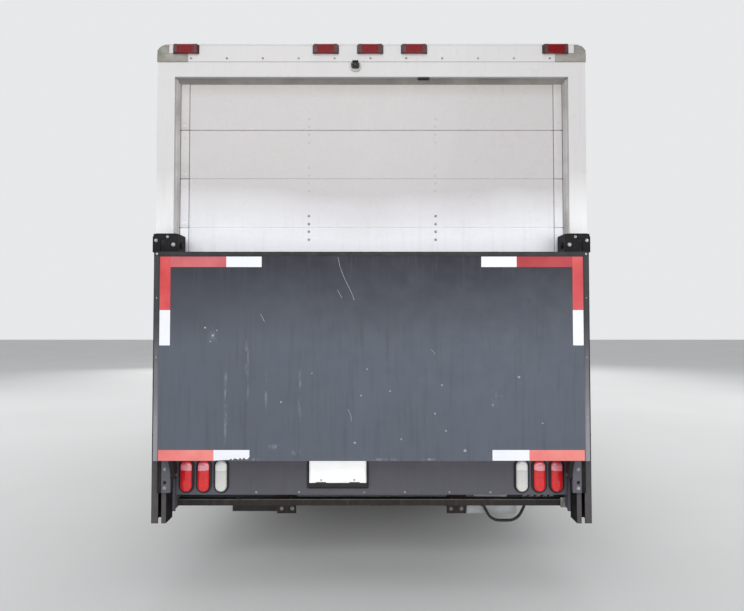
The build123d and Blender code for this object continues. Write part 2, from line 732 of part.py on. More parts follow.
def lift_platform():
    """A hollow deck with a tapered tip, stowed upright, hung on two lugs."""
    inner = FRAME_Y - LIFT_DEPTH + PLATFORM_T
    outer = FRAME_Y - LIFT_DEPTH
    section = outline([(outer, PLATFORM_Z), (inner, PLATFORM_Z),
                       (inner, PLATFORM_TOP - PLATFORM_TIP),
                       (outer + PLATFORM_TIP_T, PLATFORM_TOP), (outer, PLATFORM_TOP)])
    deck = prism_x(section, -PLATFORM_HALF, PLATFORM_HALF)
    pitch = (PLATFORM_TOP - PLATFORM_TIP - PLATFORM_Z - PLATFORM_SKIN) / PLATFORM_CELLS
    for step in range(PLATFORM_CELLS):
        z = PLATFORM_Z + PLATFORM_SKIN + step * pitch
        deck -= block(-PLATFORM_HALF - 1, PLATFORM_HALF + 1, outer + PLATFORM_SKIN,
                      inner - PLATFORM_SKIN, z, z + pitch - PLATFORM_SKIN)
    lug = prism_x(outline([(PIVOT_Y - PIVOT_EYE_R + 1, PIVOT_Z), (PIVOT_Y + PIVOT_EYE_R - 1, PIVOT_Z),
                           (inner, PLATFORM_Z + 60), (inner - 1, PLATFORM_Z + 60),
                           (inner - 1, PLATFORM_Z + 1), (inner - 45, PLATFORM_Z + 1)]),
                  LUG_IN, LUG_IN + LUG_W)
    lug += rod_x(PIVOT_EYE_R, LUG_IN, LUG_IN + LUG_W, PIVOT_Y, PIVOT_Z)
    lug -= rod_x(PIVOT_R + SEAT, LUG_IN - 1, LUG_IN + LUG_W + 1, PIVOT_Y, PIVOT_Z)
    return deck + both_sides(lug)


PUMP_Y = 330                    # lift pump, from the rear frame's back face
PUMP_XS = (554, 841)
PUMP_R = 62
PUMP_Z = 312
HOSE_R = 8
HOSE_OFF = 84                   # the hose's plane, back from the pump's middle
HOSE = [(641, 332), (690, 236), (838, 236), (888, 332), (888, 412)]     # (x, z)
FITTING = 13
BATTERY = (454, 812, 290, 470, 274, 440)    # its battery box, left: x, y from the frame, z


def bends(points):
    """The widest arcs that a route's runs leave room for."""
    radii = []
    for a, b, c in zip(points, points[1:], points[2:]):
        turn = atan2(c[1] - b[1], c[0] - b[0]) - atan2(b[1] - a[1], b[0] - a[0])
        run = min(dist(a, b), dist(b, c))
        radii.append(0.45 * run / tan(abs(turn) / 2))
    return radii


def lift_pump():
    """Reservoir, motor block, bracket to the frame, the hose held between its two fittings,
    and the battery box on the other side."""
    y = FRAME_Y + PUMP_Y
    x0, x1 = PUMP_XS
    pump = rod_x(PUMP_R, x0, x1, y, PUMP_Z)
    pump += block(x0 + 40, x1 - 60, y - 60, y + 60, PUMP_Z + 20, PUMP_Z + 150)
    pump += block(RAIL_OUT, x0 + 60, y - 40, y + 40, PUMP_Z + 110, PUMP_Z + 122)
    pump += block(RAIL_OUT, RAIL_OUT + 12, y - 40, y + 40, PUMP_Z + 110, RAIL_Z + 60)
    pump += block(x0 + 40, x0 + 60, y - 40, y + 40, PUMP_Z + 110, PUMP_Z + 150)
    back = y - HOSE_OFF
    path = FilletPolyline(*[(x, back, z) for x, z in HOSE], radius=bends(HOSE))
    hose = sweep(Plane(origin=path @ 0, z_dir=path % 0) * Circle(HOSE_R), path=path)
    (ax, az), (bx, bz) = HOSE[0], HOSE[-1]
    hose += block(ax - FITTING, ax + FITTING, back - FITTING, y, az - FITTING, az + FITTING)
    hose += block(bx - FITTING, bx + FITTING, back - FITTING, y, bz, bz + 2 * FITTING)
    hose += block(x1 - 70, bx + FITTING, y - 12, y, bz, bz + 2 * FITTING)
    x0, x1, y0, y1, z0, z1 = BATTERY
    box = block(-x1, -x0, FRAME_Y + y0, FRAME_Y + y1, z0, z1)
    box += block(-x0 - 60, -RAIL_OUT, FRAME_Y + y0 + 40, FRAME_Y + y0 + 52, z1 - 30, RAIL_Z + 60)
    box += block(-x0 - 60, -RAIL_OUT, FRAME_Y + y1 - 52, FRAME_Y + y1 - 40, z1 - 30, RAIL_Z + 60)
    return pump + hose + box


# Cab, from one skin: outlines seen from the side, the front and above
def side_outline(bottom=CAB_Z):
    hood_nose = COWL[1] - HOOD_SLOPE * (CAB_NOSE - COWL[0])
    return outline([(CAB_BACK, bottom), (CAB_NOSE, bottom), (CAB_NOSE, hood_nose), COWL,
                    (SCREEN_TOP_Y, CAB_ROOF), (CAB_BACK, CAB_ROOF)],
                   [0.0, 30.0, 110.0, 25.0, 190.0, 30.0])


def cabin_outline():
    return outline(in_halves([(CAB_HALF, 100), (CAB_HALF, BELT_Z), (ROOF_HALF_CAB, CAB_ROOF)]),
                   [0.0, 400.0, 130.0, 130.0, 400.0, 0.0])


def cab_body(inset, side_inset, bottom=CAB_Z):
    """The cab's outer form, taken in by one amount along and up, and another from the sides."""
    side = side_outline(bottom)
    over = 3 + (side_inset - inset if inset else 0)
    cabin = cabin_outline()
    nose = outline(in_halves([(CAB_HALF, -400), (CAB_HALF, COWL[1])]), [0.0, 75.0, 75.0, 0.0])
    plan = outline(in_halves([(CAB_HALF + 6, -200), (CAB_HALF + 6, NOSE_TAPER_Y),
                              (NOSE_HALF, CAB_NOSE)]), [0.0, 500.0, 150.0, 150.0, 500.0, 0.0])
    if inset:
        side = offset(side, -inset)
        cabin = offset(cabin, -side_inset)
        nose = offset(nose, -side_inset)
        plan = offset(plan, -side_inset)
    cabin = Pos(0, over) * cabin
    nose = Pos(0, over) * nose
    slope = Vector(0, 1, -HOOD_SLOPE).normalized()
    forward = extrude(Plane.XZ.offset(-COWL[0]) * nose, amount=CAB_NOSE, dir=slope)
    forward &= prism_z(plan, 0, CAB_ROOF + 1)
    cabin = prism_y(cabin, CAB_BACK - 10, COWL[0])
    return (cabin + forward) & prism_x(side, -CAB_HALF - 1, CAB_HALF + 1)


def door_outline(grow=0.0):
    gap = grow
    rear_gap = grow * DOOR_REAR_GAP / GAP
    face = outline([(DOOR_REAR - rear_gap, DOOR_BOTTOM - gap),
                    (DOOR_FRONT + gap, DOOR_BOTTOM - gap), (DOOR_FRONT + gap, 1250 + gap / 2),
                    (DOOR_TOP_Y + gap / 2, DOOR_TOP + gap), (DOOR_REAR - rear_gap, DOOR_TOP + gap)],
                   [40.0 + gap, 0.0, 60.0 + gap, 70.0 + gap, 60.0 + gap])
    return face - Pos(0, TYRE_R) * Circle(DOOR_ARCH_R - gap)


WINDOW = [(DOOR_REAR + 68, 1240), (DOOR_FRONT - 88, 1240), (DOOR_TOP_Y - 16, 1862),
          (DOOR_REAR + 68, 1862)]
WINDOW_R = [40.0, 30.0, 60.0, 50.0]
SCREEN = [(CAB_HALF - 130, 1325), (CAB_HALF - 205, 1965)]


def door_window(shrink=0.0):
    face = outline(WINDOW, WINDOW_R)
    return offset(face, -shrink) if shrink else face


def screen_outline(shrink=0.0):
    face = outline(in_halves(SCREEN), [70.0, 60.0, 60.0, 70.0])
    return offset(face, -shrink) if shrink else face


def hood_outline(grow=0.0):
    g = grow
    return outline([(-HOOD_HALF - g, HOOD_REAR - g), (HOOD_HALF + g, HOOD_REAR - g),
                    (HOOD_HALF_FRONT + g, HOOD_FRONT + g), (-HOOD_HALF_FRONT - g, HOOD_FRONT + g)])


GRILLE = (CAB_HALF - 510, 735, 975)         # half width, bottom, top
LAMP = (CAB_HALF - 450, CAB_HALF - 130, 790, 960)       # headlamp: inner, outer, bottom, top

DOOR_AXIS = (CAB_HALF - 2, DOOR_FRONT + GAP / 2)
DOOR_HINGE_ZS = [900, 1130]
HOOD_AXIS = (HOOD_REAR - GAP / 2, COWL[1] - HOOD_SLOPE * (HOOD_REAR - GAP / 2 - COWL[0]) - 2)
HOOD_HINGE_XS = [200 - HOOD_HALF, HOOD_HALF - 250]


def door_barrels(grow, upper):
    """Each door hinge's lower half is on the shell, and its upper half is on the door."""
    x, y = DOOR_AXIS
    barrels = None
    for z in DOOR_HINGE_ZS:
        z0 = z + SEAT if upper else z - HINGE_LEN
        z1 = z + HINGE_LEN if upper else z
        piece = rod_z(HINGE_R + grow, z0 - grow / 2, z1 + grow / 2, x, y)
        barrels = piece if barrels is None else barrels + piece
    return barrels


def hood_barrels(grow, outer):
    y, z = HOOD_AXIS
    barrels = None
    for x in HOOD_HINGE_XS:
        x0 = x + SEAT if outer else x - HINGE_LEN
        x1 = x + HINGE_LEN if outer else x
        piece = rod_x(HINGE_R + grow, x0 - grow / 2, x1 + grow / 2, y, z)
        barrels = piece if barrels is None else barrels + piece
    return barrels


OUTER = cab_body(0, 0)
INNER = cab_body(CAB_SKIN, CAB_SIDE, bottom=200)
SKIN = OUTER - INNER


def cab_shell():
    shell = SKIN
    door = prism_x(door_outline(GAP), 500, CAB_HALF + 50)
    shell -= both_sides(door)
    shell -= prism_z(hood_outline(GAP), 1000, CAB_ROOF)
    shell -= prism_y(screen_outline(), SCREEN_TOP_Y - 20, COWL[0] + 20)
    arch = rod_x(ARCH_R, ARCH_IN, CAB_HALF + 50, 0, TYRE_R)
    liner = rod_x(ARCH_R + LINER_T, ARCH_IN - LINER_T, CAB_HALF - CAB_SIDE + 2, 0, TYRE_R) & INNER
    liner &= block(0, CAB_HALF, -ARCH_R - 50, ARCH_R + 50, CAB_Z, CAB_ROOF)
    floor = block(-CAB_HALF, CAB_HALF, CAB_BACK + 10, FIREWALL_Y + 20, CAB_FLOOR_Z,
                  CAB_FLOOR_Z + CAB_FLOOR_T) & INNER
    wall = block(-CAB_HALF, CAB_HALF, FIREWALL_Y, FIREWALL_Y + 30, CAB_FLOOR_Z, CAB_ROOF) & INNER
    wall -= block(-CAB_HALF, CAB_HALF, FIREWALL_Y - 1, FIREWALL_Y + 31, 1225, CAB_ROOF)
    half, back, front, bottom, top = ENGINE
    cover = block(-half - 45, half + 45, back - 45, FIREWALL_Y + 20, CAB_FLOOR_Z, top + 45)
    hollow = block(-half - 20, half + 20, back - 20, FIREWALL_Y + 40, 0, top + 20)
    shell = shell + both_sides(liner) + floor + wall + cover
    shell -= hollow
    shell -= both_sides(arch)
    grille_half, grille_z0, grille_z1 = GRILLE
    shell -= block(-grille_half, grille_half, CAB_NOSE - CAB_SKIN - 5, CAB_NOSE + 1,
                   grille_z0, grille_z1)
    shell -= block(CAB_SIDE - CAB_HALF, CAB_HALF - CAB_SIDE, CAB_BACK - 1, CAB_BACK + CAB_SKIN + 1,
                   CAB_Z - 1, CAB_FLOOR_Z)
    shell -= block(-RAIL_OUT - 20, RAIL_OUT + 20, CAB_NOSE - CAB_SIDE - 1, CAB_NOSE + 1,
                   CAB_Z - 1, CAB_FLOOR_Z)
    tunnel = Pos(0, 0, GEARBOX_Z) * Rot(90, 0, 0) * Cylinder(GEARBOX_R + 40, 2 * GEARBOX_LEN)
    tunnel = Pos(0, GEARBOX_FRONT - GEARBOX_LEN, 0) * tunnel
    hump = tunnel & block(-CAB_HALF, CAB_HALF, CAB_BACK + 10, FIREWALL_Y, CAB_FLOOR_Z + 1, CAB_ROOF)
    shell += hump
    shell -= Pos(0, GEARBOX_FRONT - GEARBOX_LEN, GEARBOX_Z) * (
        Rot(90, 0, 0) * Cylinder(GEARBOX_R + 20, 2 * GEARBOX_LEN + 200))
    x0, x1, z0, z1 = LAMP
    pocket = block(x0, x1, CAB_NOSE - 220, CAB_NOSE + 1, z0, z1)
    shell -= both_sides(pocket)
    clear = door_barrels(1, True)
    shell -= both_sides(clear)
    shell -= hood_barrels(1, True)
    shell += both_sides(door_barrels(0, False)) + hood_barrels(0, False)
    return Pos(0, FRONT_AXLE_Y, 0) * shell


def windshield():
    layer = prism_x(offset(side_outline(), -GLASS_SINK), -CAB_HALF, CAB_HALF)
    layer -= prism_x(offset(side_outline(200), -GLASS_SINK - GLASS_T), -CAB_HALF - 1, CAB_HALF + 1)
    pane = layer & prism_y(screen_outline(FIT), SCREEN_TOP_Y - 20, COWL[0] + 20)
    return Pos(0, FRONT_AXLE_Y, 0) * pane


def hood():
    lid = SKIN & prism_z(hood_outline(), 1000, CAB_ROOF)
    lid -= hood_barrels(1, False)
    lid += hood_barrels(0, True)
    return Pos(0, FRONT_AXLE_Y, 0) * lid


def cab_door(side):
    door = SKIN & prism_x(door_outline(), 500, CAB_HALF + 50)
    door -= prism_x(door_window(), 500, CAB_HALF + 50)
    door -= door_barrels(1, False)
    door += door_barrels(0, True)
    door = Pos(0, FRONT_AXLE_Y, 0) * door
    return door if side > 0 else other_side(door)


def door_glass(side):
    layer = prism_y(offset(cabin_outline(), -GLASS_SINK), CAB_BACK, COWL[0])
    layer -= prism_y(offset(cabin_outline(), -GLASS_SINK - GLASS_T), CAB_BACK - 1, COWL[0] + 1)
    pane = layer & prism_x(door_window(FIT), 500, CAB_HALF + 50)
    pane = Pos(0, FRONT_AXLE_Y, 0) * pane
    return pane if side > 0 else other_side(pane)


MIRROR = (CAB_HALF + 75, CAB_HALF + 255, -265, -195, 1190, 1500)


def mirror_head(side):
    x0, x1, y0, y1, z0, z1 = MIRROR
    head = prism_x(outline([(y0, z0), (y1, z0), (y1, z1), (y0, z1)], 22), x0, x1)
    head = Pos(0, FRONT_AXLE_Y, 0) * head
    y = FRONT_AXLE_Y + (y0 + y1) / 2
    arm = rod_x(13, CAB_HALF + 1, x0 + 30, y, z0 - 10) + rod_z(13, z0 - 23, z0 + 30, x0 + 30, y)
    base = block(CAB_HALF + SEAT, CAB_HALF + 16, y - 40, y + 40, z0 - 60, z0 + 25)
    whole = head + arm + base
    return whole if side > 0 else other_side(whole)


def grille():
    half, z0, z1 = GRILLE
    y1 = CAB_NOSE
    frame = block(-half + FIT, half - FIT, y1 - CAB_SKIN, y1 + 12, z0 + FIT, z1 - FIT)
    frame -= block(-half + 26, half - 26, y1 - CAB_SKIN - 1, y1 + 20, z0 + 24, z1 - 24)
    for z in [z0 + 50 + step * 46 for step in range(4)]:
        frame += block(-half + 20, half - 20, y1 - 20, y1 + 4, z, z + 16)
    frame += block(-12, 12, y1 - 24, y1 + 2, z0 + 10, z1 - 10)
    return Pos(0, FRONT_AXLE_Y, 0) * frame


def headlamps():
    x0, x1, z0, z1 = LAMP
    lamp = OUTER & block(x0 + FIT, x1 - FIT, CAB_NOSE - 220, CAB_NOSE + 1, z0 + FIT, z1 - FIT)
    lamp -= block(x0 - 1, x1 + 1, -CAB_NOSE, CAB_NOSE - 160, z0 - 1, z1 + 1)
    return Pos(0, FRONT_AXLE_Y, 0) * both_sides(lamp)


BUMPER = (CAB_HALF - 25, 560, 420, 655)     # half width, back of its returns, bottom, top
BUMPER_T = 45


def front_bumper():
    half, back, z0, z1 = BUMPER
    y1 = FRONT_OVERHANG
    outer = outline([(-half, back), (half, back), (half - 20, y1 - 30), (half - 120, y1),
                     (120 - half, y1), (20 - half, y1 - 30)])
    inner = outline([(-half + BUMPER_T, back - 1), (half - BUMPER_T, back - 1),
                     (half - BUMPER_T - 15, y1 - 60), (half - 160, y1 - BUMPER_T),
                     (160 - half, y1 - BUMPER_T), (BUMPER_T + 15 - half, y1 - 60)])
    bumper = prism_z(outer, z0, z1) - prism_z(inner, z0 - 1, z1 + 1)
    for x in (-1, 1):
        mid = x * (RAIL_IN + RAIL_OUT) / 2
        bumper += block(mid - 30, mid + 30, CAB_NOSE - 10, y1 - BUMPER_T + 1, 520, 650)
        bumper -= rod_y(11, y1 - BUMPER_T - 1, y1 + 1, x * 620, 470)
    return Pos(0, FRONT_AXLE_Y, 0) * (bumper - OUTER)


WHEEL_X = -420
WHEEL_Y = -560
WHEEL_Z = 1150
WHEEL_R = 190


def dashboard():
    """Instrument panel, column and steering wheel."""
    panel = outline([(FIREWALL_Y - SEAT, 1215), (FIREWALL_Y - SEAT, 940), (-230, 900),
                     (-400, 1010), (-420, 1130), (-330, 1220)], [0.0, 0.0, 40.0, 40.0, 40.0, 40.0])
    inside = CAB_HALF - CAB_SIDE - 12
    dash = prism_x(panel, -inside, inside)
    half, back, front, bottom, top = ENGINE
    dash -= block(-half - 45 - FIT, half + 45 + FIT, -2000, FIREWALL_Y + 1, 0, top + 45 + FIT)
    tilt = Rot(62, 0, 0)
    wheel = Torus(WHEEL_R, 15) + Cylinder(48, 40)
    for turn in (90, 210, 330):
        wheel += Rot(0, 0, turn) * Pos(WHEEL_R / 2, 0, 0) * Box(WHEEL_R - 8, 34, 12)
    column = Pos(0, 0, -130) * Cylinder(30, 260)
    dash += Pos(WHEEL_X, WHEEL_Y, WHEEL_Z) * tilt * (wheel + column)
    return Pos(0, FRONT_AXLE_Y, 0) * dash


SEAT_X = CAB_HALF - 450
SEAT_W = 480


def seats():
    """Two bucket seats, each on its box, with its back and head rest, from the cab's back."""
    floor = CAB_FLOOR_Z + CAB_FLOOR_T
    x0, x1 = SEAT_X - SEAT_W / 2, SEAT_X + SEAT_W / 2
    base = block(x0 + 60, x1 - 60, 300, 650, floor, floor + 200)
    cushion = prism_x(outline([(210, floor + 165), (730, floor + 195), (750, floor + 300),
                               (210, floor + 290)], 30), x0, x1)
    back = prism_x(outline([(180, floor + 250), (320, floor + 250), (220, floor + 890),
                            (110, floor + 890)], 35), x0 + 10, x1 - 10)
    head = prism_x(outline([(100, floor + 880), (200, floor + 880), (188, floor + 1050),
                            (100, floor + 1050)], 30), SEAT_X - 130, SEAT_X + 130)
    seat = base + cushion + back + head
    return Pos(0, FRONT_AXLE_Y + CAB_BACK, 0) * both_sides(seat)


NODES = {
    "frame_rails": frame_rails, "front_axle": front_axle, "rear_axle": rear_axle,
    "springs": springs, "driveline": driveline, "engine_block": engine_block,
    "fuel_tank": fuel_tank, "exhaust": exhaust, "tie_rod": tie_rod,
    "box_floor": box_floor, "box_front_wall": box_front_wall, "box_roof": box_roof,
    "rear_frame": rear_frame, "roll_door": roll_door, "rear_sill": rear_sill,
    "underride_bar": underride_bar, "red_marker_lamps": red_marker_lamps,
    "amber_marker_lamps": amber_marker_lamps, "tail_lamps": tail_lamps,
    "reverse_lamps": reverse_lamps, "number_plate": number_plate, "rear_camera": rear_camera,
    "lift_rails": lift_rails, "lift_runners": lift_runners, "lift_platform": lift_platform,
    "lift_pump": lift_pump, "cab_shell": cab_shell, "windshield": windshield, "hood": hood,
    "grille": grille, "headlamps": headlamps, "front_bumper": front_bumper,
    "dashboard": dashboard, "seats": seats,
}
SIDED = {
    "knuckle": knuckle, "front_tyre": front_tyre, "front_rim": front_rim,
    "rear_tyres": rear_tyres, "rear_rims": rear_rims, "box_side": box_side,
    "door": cab_door, "door_glass": door_glass, "mirror": mirror_head,
}

os.makedirs("parts", exist_ok=True)
for name, make in NODES.items():
    export_step(make(), f"parts/{name}.step")
for name, make in SIDED.items():
    export_step(make(-1), f"parts/{name}_left.step")
    export_step(make(1), f"parts/{name}_right.step")
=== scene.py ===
import json
import math
import random
import bmesh
import bpy
from mathutils import Matrix, Vector

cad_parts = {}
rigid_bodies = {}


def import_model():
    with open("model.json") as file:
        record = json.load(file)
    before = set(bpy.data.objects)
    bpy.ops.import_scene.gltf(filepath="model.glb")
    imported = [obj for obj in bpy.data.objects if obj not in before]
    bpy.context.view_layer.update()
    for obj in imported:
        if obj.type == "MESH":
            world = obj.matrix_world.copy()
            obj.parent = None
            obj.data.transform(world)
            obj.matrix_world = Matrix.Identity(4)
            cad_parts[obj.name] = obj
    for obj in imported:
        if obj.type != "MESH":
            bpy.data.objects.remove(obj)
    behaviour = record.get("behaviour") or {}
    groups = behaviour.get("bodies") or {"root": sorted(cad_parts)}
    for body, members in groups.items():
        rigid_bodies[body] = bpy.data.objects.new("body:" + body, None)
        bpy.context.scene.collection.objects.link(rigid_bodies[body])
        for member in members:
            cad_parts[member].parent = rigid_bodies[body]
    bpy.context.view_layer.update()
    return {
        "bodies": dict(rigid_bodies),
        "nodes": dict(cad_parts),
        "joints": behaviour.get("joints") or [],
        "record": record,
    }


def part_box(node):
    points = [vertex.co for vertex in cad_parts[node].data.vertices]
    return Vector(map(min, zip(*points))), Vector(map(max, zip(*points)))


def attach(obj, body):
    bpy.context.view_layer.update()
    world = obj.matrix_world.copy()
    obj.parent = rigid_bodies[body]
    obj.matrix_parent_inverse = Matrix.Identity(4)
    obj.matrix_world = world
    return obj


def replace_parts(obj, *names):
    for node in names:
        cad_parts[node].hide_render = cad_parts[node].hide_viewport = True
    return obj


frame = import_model()
nodes = frame["nodes"]
random.seed(7)

# The van's back faces -Y; all lengths in metres, as in the CAD
REAR_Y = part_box("lift_rails")[1][1]
HOSE_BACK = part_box("lift_pump")[0][1] + 0.03
FACE_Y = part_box("lift_platform")[0][1]
RUNNER_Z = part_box("lift_runners")[0][2] * 1000
PLATFORM_T = 0.072
DECK_LOW = 0.683


# Camera, floor and lights
def set_camera():
    camera = bpy.data.objects.new("camera", bpy.data.cameras.new("camera"))
    bpy.context.collection.objects.link(camera)
    camera.location = (0.0027, -6.3055, 1.375)
    camera.rotation_euler = (math.radians(91.7), 0, 0)
    camera.data.lens = 27.82
    camera.data.sensor_width = 36
    camera.data.clip_end = 200
    bpy.context.scene.camera = camera


def area_light(name, place, aim, size, power, tint=(1, 1, 1)):
    lamp = bpy.data.lights.new(name, "AREA")
    lamp.shape = "RECTANGLE"
    lamp.size, lamp.size_y = size
    lamp.energy = power
    lamp.color = tint
    light = bpy.data.objects.new(name, lamp)
    bpy.context.collection.objects.link(light)
    light.location = place
    light.rotation_euler = (Vector(aim) - Vector(place)).to_track_quat("-Z", "Y").to_euler()


LIGHTS = [
    ("key", (-2.0, -11.0, 6.0), (0, -3.2, 1.4), (8, 5), 270),
    ("low_fill", (2.5, -12.0, 1.5), (0, -3.2, 0.9), (10, 2.6), 250),
    ("front_key", (4.0, 11.0, 6.0), (0, 2.6, 1.2), (8, 5), 300),
    ("front_low", (-2.5, 12.0, 3.0), (0, 3.2, 0.9), (10, 2.6), 220),
    ("top", (0, 0, 9.0), (0, 0, 0), (8, 12), 200),
    ("left_fill", (-9.0, 1.2, 3.6), (0, 1.2, 1.3), (6, 4), 150),
    ("right_fill", (9.0, 1.2, 3.6), (0, 1.2, 1.3), (6, 4), 150),
]


def set_world():
    world = bpy.data.worlds.new("studio")
    bpy.context.scene.world = world
    world.use_nodes = True
    tree = world.node_tree
    tree.nodes.clear()
    out = tree.nodes.new("ShaderNodeOutputWorld")
    plain = tree.nodes.new("ShaderNodeBackground")
    plain.inputs["Color"].default_value = (0.95, 0.97, 1.0, 1)
    plain.inputs["Strength"].default_value = 0.6
    seen = tree.nodes.new("ShaderNodeBackground")
    seen.inputs["Color"].default_value = (0.8, 0.81, 0.82, 1)
    seen.inputs["Strength"].default_value = 1.0
    path = tree.nodes.new("ShaderNodeLightPath")
    mix = tree.nodes.new("ShaderNodeMixShader")
    seen_by = path.outputs["Is Camera Ray"]
    for ray in ("Is Glossy Ray", "Is Transmission Ray"):
        either = tree.nodes.new("ShaderNodeMath")
        either.operation = "MAXIMUM"
        tree.links.new(seen_by, either.inputs[0])
        tree.links.new(path.outputs[ray], either.inputs[1])
        seen_by = either.outputs[0]
    tree.links.new(seen_by, mix.inputs["Fac"])
    tree.links.new(plain.outputs[0], mix.inputs[1])
    tree.links.new(seen.outputs[0], mix.inputs[2])
    tree.links.new(mix.outputs[0], out.inputs["Surface"])


# A material is a small node tree, written as nested calls
class Paint:
    def __init__(self, name, rough=0.5, metal=0.0, coat=0.0, ior=1.5, alpha=1.0, spec=0.5,
                 transmission=0.0):
        self.material = bpy.data.materials.new(name)
        self.material.use_nodes = True
        self.tree = self.material.node_tree
        self.shader = self.tree.nodes["Principled BSDF"]
        self.set(self.shader, "Roughness", rough)
        self.set(self.shader, "Metallic", metal)
        self.set(self.shader, "Coat Weight", coat)
        self.set(self.shader, "IOR", ior)
        self.set(self.shader, "Specular IOR Level", spec)
        self.set(self.shader, "Transmission Weight", transmission)
        self.set(self.shader, "Alpha", alpha)
        coordinates = self.tree.nodes.new("ShaderNodeTexCoord")
        self.place = coordinates.outputs["Object"]

    def set(self, node, key, value):
        socket = node.inputs[key]
        if isinstance(value, bpy.types.NodeSocket):
            self.tree.links.new(value, socket)
        elif isinstance(value, tuple) and len(value) == 3 and socket.type == "RGBA":
            socket.default_value = (*value, 1)
        else:
            socket.default_value = value

    def node(self, kind, **inputs):
        made = self.tree.nodes.new("ShaderNode" + kind)
        for key, value in inputs.items():
            self.set(made, int(key[1:]) if key[0] == "i" and key[1:].isdigit() else key, value)
        return made

    def stretched(self, scale):
        made = self.tree.nodes.new("ShaderNodeMapping")
        made.vector_type = "POINT"
        self.set(made, "Vector", self.place)
        made.inputs["Scale"].default_value = scale
        return made.outputs[0]

    def noise(self, scale, detail=3.0, stretch=None, rough=0.55):
        at = self.stretched(stretch) if stretch else self.place
        return self.node("TexNoise", Vector=at, Scale=scale, Detail=detail,
                         Roughness=rough).outputs[0]

    def cells(self, scale, stretch=None, out="Distance"):
        at = self.stretched(stretch) if stretch else self.place
        return self.node("TexVoronoi", Vector=at, Scale=scale).outputs[out]

    def fit(self, value, low, high, to_low=0.0, to_high=1.0):
        made = self.tree.nodes.new("ShaderNodeMapRange")
        self.set(made, "Value", value)
        for key, number in (("From Min", low), ("From Max", high), ("To Min", to_low),
                            ("To Max", to_high)):
            self.set(made, key, number)
        return made.outputs[0]

    def math(self, operation, a, b=0.0):
        made = self.tree.nodes.new("ShaderNodeMath")
        made.operation = operation
        self.set(made, 0, a)
        self.set(made, 1, b)
        return made.outputs[0]

    def axis(self, index):
        split = self.node("SeparateXYZ", Vector=self.place)
        return split.outputs[index]

    def upright(self):
        """1 on a wall and 0 on a level face, where rain leaves no streaks."""
        faces = self.tree.nodes.new("ShaderNodeTexCoord").outputs["Normal"]
        level = self.node("SeparateXYZ", Vector=faces).outputs[2]
        return self.math("SUBTRACT", 1.0, self.math("ABSOLUTE", level))

    def mix(self, factor, a, b):
        made = self.tree.nodes.new("ShaderNodeMix")
        made.data_type = "RGBA"
        self.set(made, 0, factor)
        self.set(made, 6, (*a, 1) if isinstance(a, tuple) else a)
        self.set(made, 7, (*b, 1) if isinstance(b, tuple) else b)
        return made.outputs[2]

    def colour(self, value):
        self.set(self.shader, "Base Color", value)
        return self

    def rough(self, value):
        self.set(self.shader, "Roughness", value)
        return self

    def bump(self, height, distance=0.001, strength=0.5):
        made = self.node("Bump", Height=height, Distance=distance, Strength=strength)
        self.set(self.shader, "Normal", made.outputs[0])
        return self


def tone(red, green, blue):
    """A colour as it is seen on screen, 0 to 255, to its linear values."""
    return tuple((c / 255 / 12.92 if c < 10.5 else ((c / 255 + 0.055) / 1.055) ** 2.4)
                 for c in (red, green, blue))


def painted(name, base, dirt, rough=0.35, coat=0.3, amount=0.25, grain=0.0002, spec=0.5,
            shading_by_height=None, shade=None):
    """Sprayed paint: a slow shift in tone, rain streaks and fine orange peel. shading_by_height and
    shade each give another tone and the heights, low and high, between which it takes over,
    along a wavy and a straight border. Both are painted light: shading_by_height a painted shading that
    changes with height, shade a painted shadow."""
    p = Paint(name, coat=coat, spec=spec)
    # Painted shading that changes with height, then a painted shadow along a straight border
    if shading_by_height:
        other, low, high = shading_by_height
        wavy = p.math("ADD", p.axis(2), p.math("MULTIPLY", p.noise(1.1, 2), 0.25))
        base = p.mix(p.fit(wavy, low + 0.125, high + 0.125), base, other)
    if shade:
        base = p.mix(p.fit(p.axis(2), *shade[1:]), base, shade[0])
    slow = p.fit(p.noise(1.3, 2), 0.35, 0.65)
    streak = p.math("MULTIPLY", p.fit(p.noise(9, 4, (6, 6, 0.35)), 0.52, 0.8), p.upright())
    grime = p.math("MULTIPLY", p.math("ADD", p.math("MULTIPLY", slow, 0.4), streak), amount)
    p.colour(p.mix(grime, base, dirt))
    p.rough(p.fit(p.noise(14, 3), 0.3, 0.7, rough * 0.8, rough * 1.25))
    return p.bump(p.noise(420, 2), grain, 0.3).material


def moulded(name, base, pale, rough=0.6, grain=900):
    """Grained plastic, a little faded in patches."""
    p = Paint(name, spec=0.3)
    p.colour(p.mix(p.fit(p.noise(3, 4), 0.4, 0.75), base, pale))
    p.rough(p.fit(p.noise(40, 3), 0.3, 0.7, rough * 0.85, rough * 1.1))
    return p.bump(p.noise(grain, 2), 0.0003, 0.5).material


def worn_metal(name, base, stain, rough=0.4, metal=1.0, scale=18, stretch=None, amount=1.0):
    p = Paint(name, metal=metal)
    p.colour(p.mix(p.fit(p.noise(scale, 6, stretch), 0.42, 0.72, 0, amount), base, stain))
    p.rough(p.fit(p.noise(scale * 2, 5), 0.3, 0.7, rough * 0.7, rough * 1.3))
    return p.bump(p.noise(scale * 20, 4), 0.0003, 0.35).material


